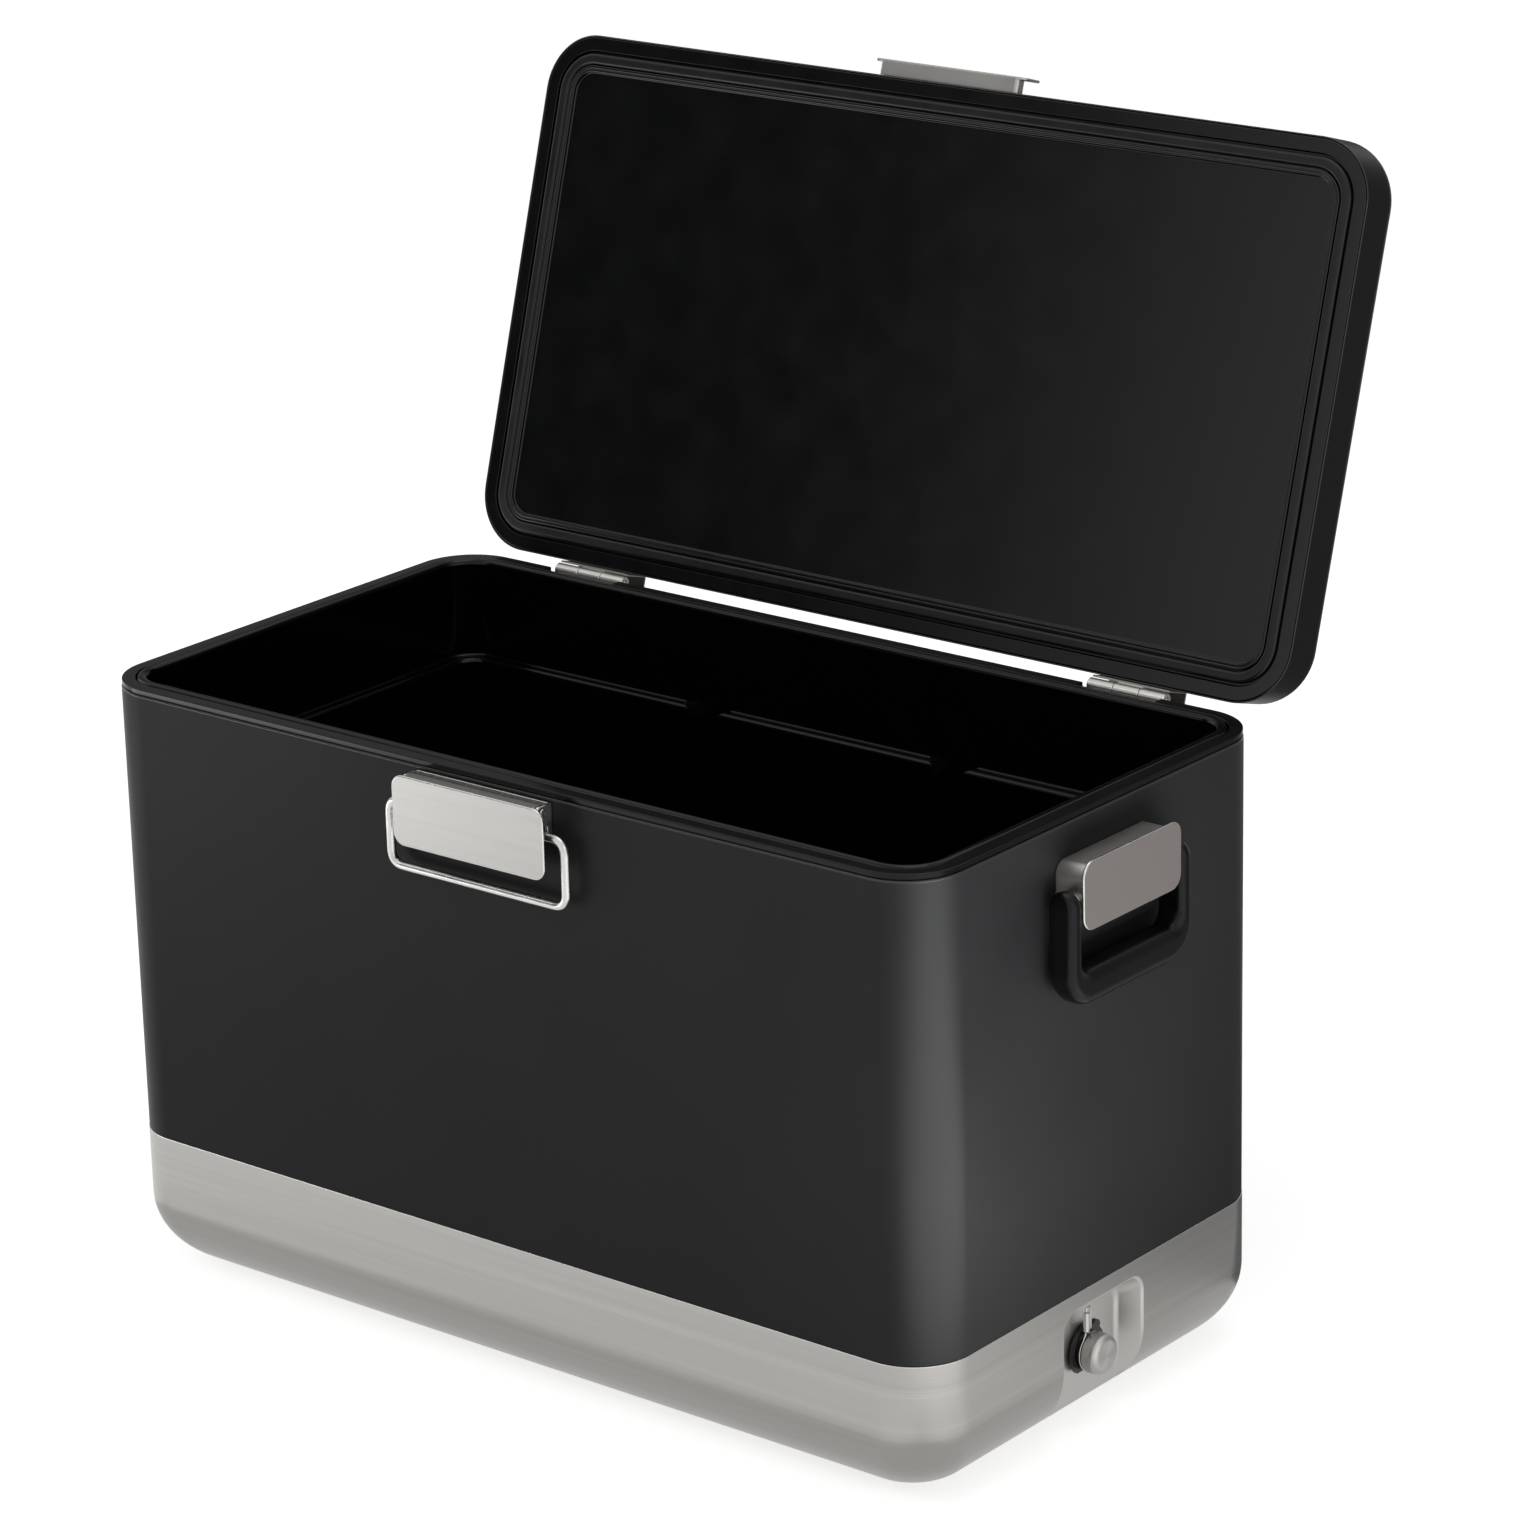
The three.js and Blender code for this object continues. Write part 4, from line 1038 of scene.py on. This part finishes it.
def make_panel():
    channel_end = GASKET_INSET + GASKET_WIDTH + GAP
    field = RIDGE_INSET + 2 * RIDGE_PITCH
    ridges = []
    for index in range(2):
        centre = RIDGE_INSET + RIDGE_PITCH * index + RIDGE
        ridges += [(inset, z * RIDGE_SHARE) for inset, z in reversed(arc(centre, 0, RIDGE, 0, -180, 10))]
    edge = PANEL_EDGE
    section = [
        (PANEL_GAP + WALL, PANEL_TOP),
        (PANEL_GAP + WALL, PANEL_SKIRT),
        (PANEL_GAP, PANEL_SKIRT),
        *arc(PANEL_GAP + edge, edge, edge, 180, 270, 4),
        *arc(BAND_INSET - FINE_EDGE, FINE_EDGE, FINE_EDGE, 270, 360, 3),
        (BAND_INSET + BAND_DRAFT, GROOVE - FINE_EDGE),
        (BAND_INSET + BAND_DRAFT + FINE_EDGE, GROOVE),
        (channel_end, GROOVE),
        *ridges,
        *arc(field + FIELD_EDGE, FIELD_RECESS - FIELD_EDGE, FIELD_EDGE, 180, 90, 5),
    ]
    return loft("moulded_panel", plan_rings(section))


def make_gasket():
    seat = GROOVE - GAP
    inner = GASKET_INSET + GASKET_WIDTH
    rise = GASKET_ROUND - GASKET_DROP
    return around("lid_seal", [
        (inner, seat),
        *arc(inner - GASKET_ROUND, rise, GASKET_ROUND, 0, -90),
        *arc(GASKET_INSET + GASKET_ROUND, rise, GASKET_ROUND, 270, 180),
        (GASKET_INSET, seat),
    ])


def make_keeper():
    face = -HALF_Y
    back = face - GAP
    plate_back = face - KEEPER_REACH + KEEPER_SHEET
    high = KEEPER_LOW + KEEPER_BOX_HIGH
    box_outline = rounded(KEEPER_BOX, KEEPER_LOW, high, KEEPER_BOX_CORNER)
    box = along_y("keeper", box_outline, plate_back - EMBED, back)
    inner = KEEPER_BOX - KEEPER_SHEET
    inner_low = KEEPER_LOW + KEEPER_SHEET
    hollow = block("hollow", -inner, inner, plate_back, back + OVER, inner_low, high - KEEPER_SHEET)
    outline = rounded(KEEPER_PLATE, KEEPER_LOW, KEEPER_LOW + KEEPER_PLATE_HIGH, KEEPER_CORNER)
    plate = soften(along_y("plate", outline, face - KEEPER_REACH, plate_back), KEEPER_EDGE, 5)
    return join(cut(box, hollow), plate)


lid_shell = dress(make_lid_shell(), "shell_paint", "lid", "lid_shell", LID)
# The lid's hem takes the lighter, glossier paint: a painted highlight along its lower edge
refinish(lid_shell, "hem_paint", lambda place, normal: place.z < LID_HEM_HIGHLIGHT)
dress(make_panel(), "lid_plastic", "lid", "lid_liner", LID)
dress(make_gasket(), "seal_rubber", "lid", "lid_gasket", LID)
dress(make_keeper(), "plate_steel", "lid", "lid_keeper", LID)

# Hinges, drawn about their axis


def knuckle(start, end, side):
    barrel = turned_rod("barrel", KNUCKLE, start, end)
    reach = sorted((side * LEAF_GAP, side * KNUCKLE))
    return join(barrel, block("web", start, end, GAP - HINGE_SETBACK, 0, *reach))


def hinge_spans():
    length = (HINGE_LENGTH - 2 * KNUCKLE_GAP) / 3
    starts = [index * (length + KNUCKLE_GAP) - HINGE_HALF for index in range(3)]
    return [(start, start + length) for start in starts]


def make_leaf(name, plate, reach, shelf, side, spans):
    """A plate on the wall between two heights, its shelf, and knuckles on one side of the axis."""
    wall = GAP - HINGE_SETBACK
    piece = block(name, -HINGE_HALF, HINGE_HALF, wall, wall + LEAF, *plate)
    join(piece, block("shelf", -HINGE_HALF, HINGE_HALF, wall, reach, shelf - LEAF, shelf))
    soften(piece, FINE_EDGE, 2)
    join(piece, *[knuckle(*span, side) for span in spans])
    return cut(piece, rod_x("bore", HINGE_PIN + GAP, -HINGE_LENGTH, HINGE_LENGTH, 0, 0))


def make_body_leaf(name):
    tip = rotate(-LID_ANGLE, "X") @ Vector((0, STOP_REACH - HINGE_SETBACK, LEAF_HEIGHT + HINGE_DROP))
    shelf = tip.z - GAP
    return make_leaf(name, (shelf - LEAF, -LEAF_GAP), tip.y + STOP_MARGIN, shelf, -1, hinge_spans()[::2])


def make_lid_leaf(name):
    top = LEAF_HEIGHT + HINGE_DROP
    return make_leaf(name, (LEAF_GAP, top), STOP_REACH - HINGE_SETBACK, top, 1, hinge_spans()[1:2])


def off_barrel(centre, normal):
    return hypot(centre.y, centre.z) > KNUCKLE + GAP


for side_name, side in (("left", -1), ("right", 1)):
    centre = side * HINGE_SPACING / 2
    here = shift(centre, HINGE_Y, HINGE_Z)
    node = f"hinge_{side_name}"
    half = HINGE_HALF + PIN_END
    body_leaf = make_body_leaf(f"{side_name}_body_leaf")
    dress(body_leaf, "hinge_steel", "body", f"{node}_body_leaf", here)
    pin = turned_rod(f"{side_name}_hinge_pin", HINGE_PIN, -half, half, FINE_EDGE)
    dress(pin, "bright_steel", "body", f"{node}_pin", here)
    lid_leaf = make_lid_leaf(f"{side_name}_lid_leaf")
    dress(lid_leaf, "hinge_steel", "lid", f"{node}_lid_leaf", PIVOT @ shift(centre, 0, 0))
    for leaf in (body_leaf, lid_leaf):
        refinish(leaf, "leaf_steel", off_barrel)

# Draw latch, drawn with Y as the distance out from the front

LATCH = shift(0, -HALF_Y, 0) @ rotate(180, "Z")
LEVER_BACK = LEVER_REACH - LEVER_SHEET


def latch_hole(radius, z):
    return rod_x("hole", radius + GAP, -LEVER_WIDTH, LEVER_WIDTH, LATCH_PIN_OFF, z)


def make_lever():
    bore = LATCH_PIN + GAP
    roll_radius = bore + LEVER_SHEET
    outline = rounded(LEVER_WIDTH / 2, LEVER_TOP - LEVER_HEIGHT, LEVER_TOP, LEVER_CORNER, 12)
    plate = soften(along_y("lever", outline, LEVER_BACK, LEVER_REACH), LEVER_EDGE, 6)
    cheek = [
        (LEVER_BACK + EMBED, LEVER_TOP - EMBED),
        *arc(LATCH_PIN_OFF, PIN_Z, roll_radius, 90, 180, 8),
        *arc(LATCH_PIN_OFF, SEAT_Z, SEAT_RADIUS, 180, 270, 8),
        (LEVER_BACK + EMBED, SEAT_Z - SEAT_RADIUS),
    ]
    roll = [
        (LEVER_BACK + EMBED, LEVER_TOP - LEVER_SHEET),
        (LEVER_BACK + EMBED, LEVER_TOP - PART_EDGE),
        *arc(LATCH_PIN_OFF, PIN_Z, roll_radius - ROLL_INSET, 86, 270, 16),
        *arc(LATCH_PIN_OFF, PIN_Z, bore, 270, 90, 16),
    ]
    cheeks = [soften(piece, CHEEK_EDGE, 2) for piece in pair_x("cheek", cheek, CHEEK - LEVER_SHEET, CHEEK)]
    top = along_x("roll", roll, ROLL_END - CHEEK, CHEEK - ROLL_END)
    return cut(join(plate, *cheeks, top), latch_hole(LATCH_PIN, PIN_Z), latch_hole(BAIL, SEAT_Z))


def make_bail():
    leg = BAIL_WIDTH / 2 - BAIL
    end = CHEEK - BAIL_IN
    low = SEAT_Z - (LID_PLANE + KEEPER_LOW + KEEPER_BOX_HIGH + GAP + BAIL - SEAT_Z)
    corners = [(-end, SEAT_Z), (-leg, SEAT_Z), (-leg, low), (leg, low), (leg, SEAT_Z), (end, SEAT_Z)]
    return wire("wire_bail", [(x, LATCH_PIN_OFF, z) for x, z in corners], BAIL, BAIL_CORNER, 12)


def make_latch_bracket():
    inner = CHEEK + EAR_GAP
    outer = inner + EAR_SHEET
    high = PIN_Z + EAR_RISE
    low = PIN_Z - EAR_FOOT
    ear = [
        (GAP, low),
        (EAR_FOOT_REACH, low),
        (EAR_FOOT_REACH, PIN_Z - EAR_STEP),
        (EAR_REACH, PIN_Z - EAR_NOSE),
        *arc(EAR_REACH - EAR_ROUND, high - EAR_ROUND, EAR_ROUND, 0, 90),
        (GAP, high),
    ]
    back = block("latch_base", -outer, outer, GAP, GAP + BACK_SHEET, low, high)
    base = soften(join(back, *pair_x("ear", ear, inner, outer)), PART_EDGE, 3)
    return cut(base, latch_hole(LATCH_PIN, PIN_Z))


def make_latch_pin():
    half = CHEEK + EAR_GAP + EAR_SHEET + PIN_END
    piece = turned_rod("latch_pivot", LATCH_PIN, -half, half)
    piece.data.transform(shift(0, LATCH_PIN_OFF, PIN_Z))
    return piece


lever = dress(make_lever(), "plate_steel", "lever", "latch_lever", LATCH)
refinish(lever, "roll_steel", lambda place, normal: place.y < LEVER_BACK)
refinish(lever, "bright_steel", lambda place, normal: place.y > LEVER_BACK and normal.y < FACE_ON)
dress(make_bail(), "bright_steel", "bail", "latch_bail", LATCH, WIRE_ANGLE)
dress(make_latch_bracket(), "bright_steel", "body", "latch_bracket", LATCH)
dress(make_latch_pin(), "bright_steel", "body", "latch_pin", LATCH)

# Side handles, drawn with X as the distance out from the end


def make_bracket(name):
    high = BRACKET_LOW + BRACKET_HIGH
    wall = BRACKET_WALL
    outer = rounded(BRACKET_HALF, BRACKET_LOW, high, BRACKET_CORNER, 12)
    inner = rounded(BRACKET_HALF - wall, BRACKET_LOW + wall, high - wall, BRACKET_CORNER - wall, 12)
    casing = soften(along_x(name, outer, GAP, BRACKET_DEPTH), FINE_EDGE, 2)
    hollow = along_x("hollow", inner, -OVER, BRACKET_DEPTH - wall)
    return cut(casing, hollow, rod_y("hole", GRIP_PIN + GAP, -DEPTH, DEPTH, PIVOT_X, GRIP_PIVOT))


def make_cover(name):
    low = BRACKET_LOW - COVER_DROP
    high = BRACKET_LOW + BRACKET_HIGH + COVER_DROP
    outline = rounded(BRACKET_HALF + COVER_LIP, low, high, COVER_CORNER, 14)
    back = BRACKET_DEPTH + GAP
    return soften(along_x(name, outline, back, back + COVER_SHEET), COVER_EDGE, 5)


def grip_ring(outer, inner, depth, width_share):
    """A rounded section between an outer and an inner point of the grip's outline."""
    across = (Vector(outer) - Vector(inner)) / 2
    middle = (Vector(outer) + Vector(inner)) / 2
    half = across.length
    full = (half - GRIP_LEG / 2) / (GRIP_BAR / 2 - GRIP_LEG / 2)
    radius = GRIP_LEG_ROUND + (GRIP_BAR_ROUND - GRIP_LEG_ROUND) * min(1, max(0, full))
    half *= width_share
    radius = min(radius, GRIP_FULLNESS * half, GRIP_FULLNESS * depth)
    side = across.normalized()
    points = []
    for a, b, _ in ring(half, depth, radius, 0, 9):
        place = middle + side * a
        points.append((PIVOT_X + b, place.x, place.y))
    return points


def make_grip(name):
    outer_half = GRIP_INNER + GRIP_LEG
    outer_centre = (outer_half - GRIP_OUTER_CORNER, GRIP_LOW + GRIP_OUTER_CORNER)
    inner_centre = (GRIP_INNER - GRIP_INNER_CORNER, GRIP_LOW + GRIP_BAR + GRIP_INNER_CORNER)
    depth = GRIP_DEPTH / 2
    pairs = []
    for turn in GRIP_DOME_TURNS:
        angle = turn * QUARTER
        z = GRIP_PIVOT + depth * sin(angle)
        pairs.append(((outer_half, z), (GRIP_INNER, z), cos(angle)))
    foot = GRIP_PIVOT - GRIP_DOME_FOOT
    for share in (0, 0.25, 0.5, 0.75):
        outer_z = foot + (outer_centre[1] - foot) * share
        inner_z = foot + (inner_centre[1] - foot) * share
        pairs.append(((outer_half, outer_z), (GRIP_INNER, inner_z), 1))
    outer_bend = arc(*outer_centre, GRIP_OUTER_CORNER, 0, -90, 18)
    inner_bend = arc(*inner_centre, GRIP_INNER_CORNER, 0, -90, 18)
    pairs += [(outer, inner, 1) for outer, inner in zip(outer_bend, inner_bend)]
    pairs += [((y, GRIP_LOW), (y, GRIP_LOW + GRIP_BAR), 1) for y in (*GRIP_BAR_STATIONS, 0)]
    pairs += [((-outer[0], outer[1]), (-inner[0], inner[1]), share) for outer, inner, share in pairs[-2::-1]]
    bar = loft(name, [
        grip_ring(outer, inner, depth * share, share ** GRIP_DOME) for outer, inner, share in pairs
    ])
    reach = GRIP_INNER + GRIP_PIN_IN + GAP
    return cut(bar, rod_y("hole", GRIP_PIN + GAP, -reach, reach, PIVOT_X, GRIP_PIVOT))


def make_grip_pin(name, side):
    inner = BRACKET_HALF - BRACKET_WALL - GRIP_PIN
    boss = BRACKET_HALF + GAP
    boss_end = GRIP_INNER - GAP
    end = GRIP_INNER + GRIP_PIN_IN
    piece = turned(name, [
        (0, inner),
        (GRIP_PIN, inner),
        (GRIP_PIN, boss),
        (GRIP_BOSS - PART_EDGE, boss),
        (GRIP_BOSS, boss + PART_EDGE),
        (GRIP_BOSS, boss_end - PART_EDGE),
        (GRIP_BOSS - PART_EDGE, boss_end),
        (GRIP_PIN, boss_end),
        (GRIP_PIN, end),
        (0, end),
    ])
    piece.data.transform(shift(PIVOT_X, 0, GRIP_PIVOT) @ rotate(side * 90, "Z"))
    return piece


for side_name, side in (("left", -1), ("right", 1)):
    place = shift(side * HALF_X, 0, 0) @ rotate(0 if side > 0 else 180, "Z")
    for piece, finish, body, part, slot in [
        (make_bracket(f"{side_name}_handle_box"), "bracket_steel", "body", "bracket", "cap_steel"),
        (make_cover(f"{side_name}_handle_plate"), "cover_steel", "body", "cover", "plate_steel"),
        (make_grip(f"{side_name}_swing_grip"), "grip_rubber", f"grip_{side_name}", "grip", None),
        (make_grip_pin(f"{side_name}_pin_a", -side), "bright_steel", "body", "front_pin", None),
        (make_grip_pin(f"{side_name}_pin_b", side), "bright_steel", "body", "rear_pin", None),
    ]:
        dress(piece, finish, body, f"handle_{side_name}_{part}", place)
        if part == "cover":
            refinish(piece, "bright_steel", lambda centre, normal: normal.x < FACE_ON)

# CAD pieces that keep their shape

for node, finish in [
    ("lid_foam", "insulation"),
    ("drain_spout", "rim_plastic"),
    ("drain_washer", "seal_rubber"),
    ("drain_cap_seal", "seal_rubber"),
]:
    for material_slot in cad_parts[node].material_slots:
        material_slot.material = FINISHES[finish]

# Floor, light and camera

FLOOR_REACH = 30
FLOOR_LEVEL = -0.0005
FLOOR_COLOR = (0.86, 0.86, 0.86, 1)
FLOOR_LIFT = 0.6
ROOM_LIGHT = 0.45
WHITE = (1, 1, 1, 1)

# Camera, fitted to the photograph
CAMERA_PLACE = (1.9826, -2.3455, 1.3864)
YAW = 39.27
PITCH = 18.79
ROLL = 1.44
FOCAL_PIXELS = 5508
FRAME_PIXELS = 1515
SENSOR = 36


def flat(name, corners):
    mesh = bpy.data.meshes.new(name)
    mesh.from_pydata(corners, [], [(0, 1, 2, 3)])
    piece = add_object(name, mesh)
    return piece


def bare_tree(piece):
    """The empty node tree of a new material for the piece."""
    material = bpy.data.materials.new(piece.name)
    material.use_nodes = True
    material.node_tree.nodes.clear()
    piece.data.materials.append(material)
    return material.node_tree


def seen(tree):
    """One for rays that show the background: from the camera, or by reflection or glass."""
    path = add_node(tree, "LightPath").outputs
    value = path["Is Camera Ray"]
    for name in ("Is Glossy Ray", "Is Transmission Ray"):
        value = add_node(tree, "Math", {0: value, 1: path[name]}, operation="MAXIMUM").outputs["Value"]
    return value


def make_floor():
    corners = [(-1, -1), (1, -1), (1, 1), (-1, 1)]
    floor = flat("floor", [(FLOOR_REACH * x, FLOOR_REACH * y, 0) for x, y in corners])
    floor.location.z = FLOOR_LEVEL
    tree = bare_tree(floor)
    plain = add_node(tree, "BsdfDiffuse", {"Color": FLOOR_COLOR})
    lift = add_node(tree, "Math", {0: seen(tree), 1: FLOOR_LIFT}, operation="MULTIPLY")
    white = add_node(tree, "Emission", {"Strength": lift.outputs["Value"]})
    both = add_node(tree, "AddShader", {0: plain.outputs["BSDF"], 1: white.outputs["Emission"]})
    add_node(tree, "OutputMaterial", {"Surface": both.outputs["Shader"]})


def make_card(name, place, turn, width, reach, level, fade=None, lying=False):
    """A card that only reflections show, turned in degrees. A fade runs across its width, from its level
    at one place to another level at a second."""
    half = width / 2
    top = (reach, 0) if lying else (0, reach)
    card = flat(name, [(-half, 0, 0), (half, 0, 0), (half, *top), (-half, *top)])
    card.location = place
    card.rotation_euler.z = radians(turn) - QUARTER
    card.visible_camera = False
    card.visible_diffuse = False
    card.visible_shadow = False
    card.visible_transmission = False
    tree = bare_tree(card)
    if fade:
        start, end, last = fade
        spot = add_node(tree, "TexCoord").outputs["Object"]
        across = add_node(tree, "SeparateXYZ", {"Vector": spot}).outputs["X"]
        level = add_ramp(tree, across, start, end, level, last, interpolation_type="SMOOTHSTEP")
    glow = add_node(tree, "Emission", {"Strength": level})
    add_node(tree, "OutputMaterial", {"Surface": glow.outputs["Emission"]})


def make_world():
    """Soft light that shows as plain white."""
    world = bpy.data.worlds.new("studio")
    bpy.context.scene.world = world
    world.use_nodes = True
    tree = world.node_tree
    tree.nodes.clear()
    soft = add_node(tree, "Background", {"Color": WHITE, "Strength": ROOM_LIGHT}).outputs["Background"]
    plain = add_node(tree, "Background", {"Color": WHITE, "Strength": 1}).outputs["Background"]
    mix = add_node(tree, "MixShader", {"Fac": seen(tree), 1: soft, 2: plain})
    add_node(tree, "OutputWorld", {"Surface": mix.outputs["Shader"]})


def make_lamp(name, place, target, size, power):
    light = bpy.data.lights.new(name, "AREA")
    light.shape = "RECTANGLE"
    light.size, light.size_y = size
    light.energy = power
    lamp = add_object(name, light)
    lamp.location = place
    lamp.visible_camera = False
    lamp.rotation_euler = (Vector(target) - Vector(place)).to_track_quat("-Z", "Y").to_euler()
    return lamp


def make_corner_lamp(piece):
    """A low soft box for the painted casing alone, so that the steel beside it doesn't clip."""
    lamp = make_lamp("corner", (1.06, -0.33, 0.012), (0, 0, 1), (1.2, 0.84), 34)
    lamp.rotation_euler = (pi, 0, radians(-14))
    lit = bpy.data.collections.new("painted_casing")
    lit.objects.link(piece)
    lamp.light_linking.receiver_collection = lit


def make_camera():
    data = bpy.data.cameras.new("camera")
    data.sensor_width = SENSOR
    data.lens = SENSOR * FOCAL_PIXELS / FRAME_PIXELS
    data.clip_end = 100
    camera = add_object("camera", data)
    turn = rotate(YAW, "Z") @ rotate(90 - PITCH, "X") @ rotate(-ROLL, "Z")
    camera.matrix_world = Matrix.Translation(CAMERA_PLACE) @ turn
    bpy.context.scene.camera = camera


make_floor()
make_world()
make_card("front_card", (-1.5, -2.0, 0.35), -127, 2.4, 2.0, 0.03, (0.25, -0.5, 1))
make_card("rear_card", (1.5, 2.0, 0), 53, 3.2, 2.2, 0.3)
make_card("rear_floor", (0.42, 0.5, 0.002), 50, 1.6, 1.9, 0.3, lying=True)
make_card("back_floor", (0.28, 0.19, 0.004), 90, 0.16, 0.6, 0.15, lying=True)
make_card("under_floor", (0, -0.225, 0.003), 90, 0.74, 0.45, 0.75, lying=True)
make_card("right_floor", (0.37, 0.25, 0.0045), 0, 0.6, 0.3, 0.4, (0, 0.3, 1), lying=True)
make_card("left_card", (-1.6, 1.6, 0), 135, 3.0, 2.2, 0.2)
make_card("bright_card", (1.6, -0.4, 0.02), -14, 1.4, 1.0, 1.4)
make_card("bright_floor", (0.46, -0.1, 0.005), -14, 1.4, 1.2, 1.6, (-0.14, -0.5, 0.3), lying=True)
make_lamp("key", (-1.9, -2.2, 2.2), (0, 0, 0.25), (1.4, 1.4), 14)
make_lamp("side", (1.7, -0.6, 0.8), (0.3, 0, 0.25), (0.5, 0.8), 4)
make_lamp("left", (-1.1, -0.85, 0.14), (-0.3, -0.16, 0.22), (0.7, 0.4), 3)
make_lamp("top", (0.2, 0.3, 3.2), (0, 0, 0.2), (2.2, 1.6), 14)
make_corner_lamp(band)
make_camera()
bpy.context.scene.view_settings.view_transform = "Standard"
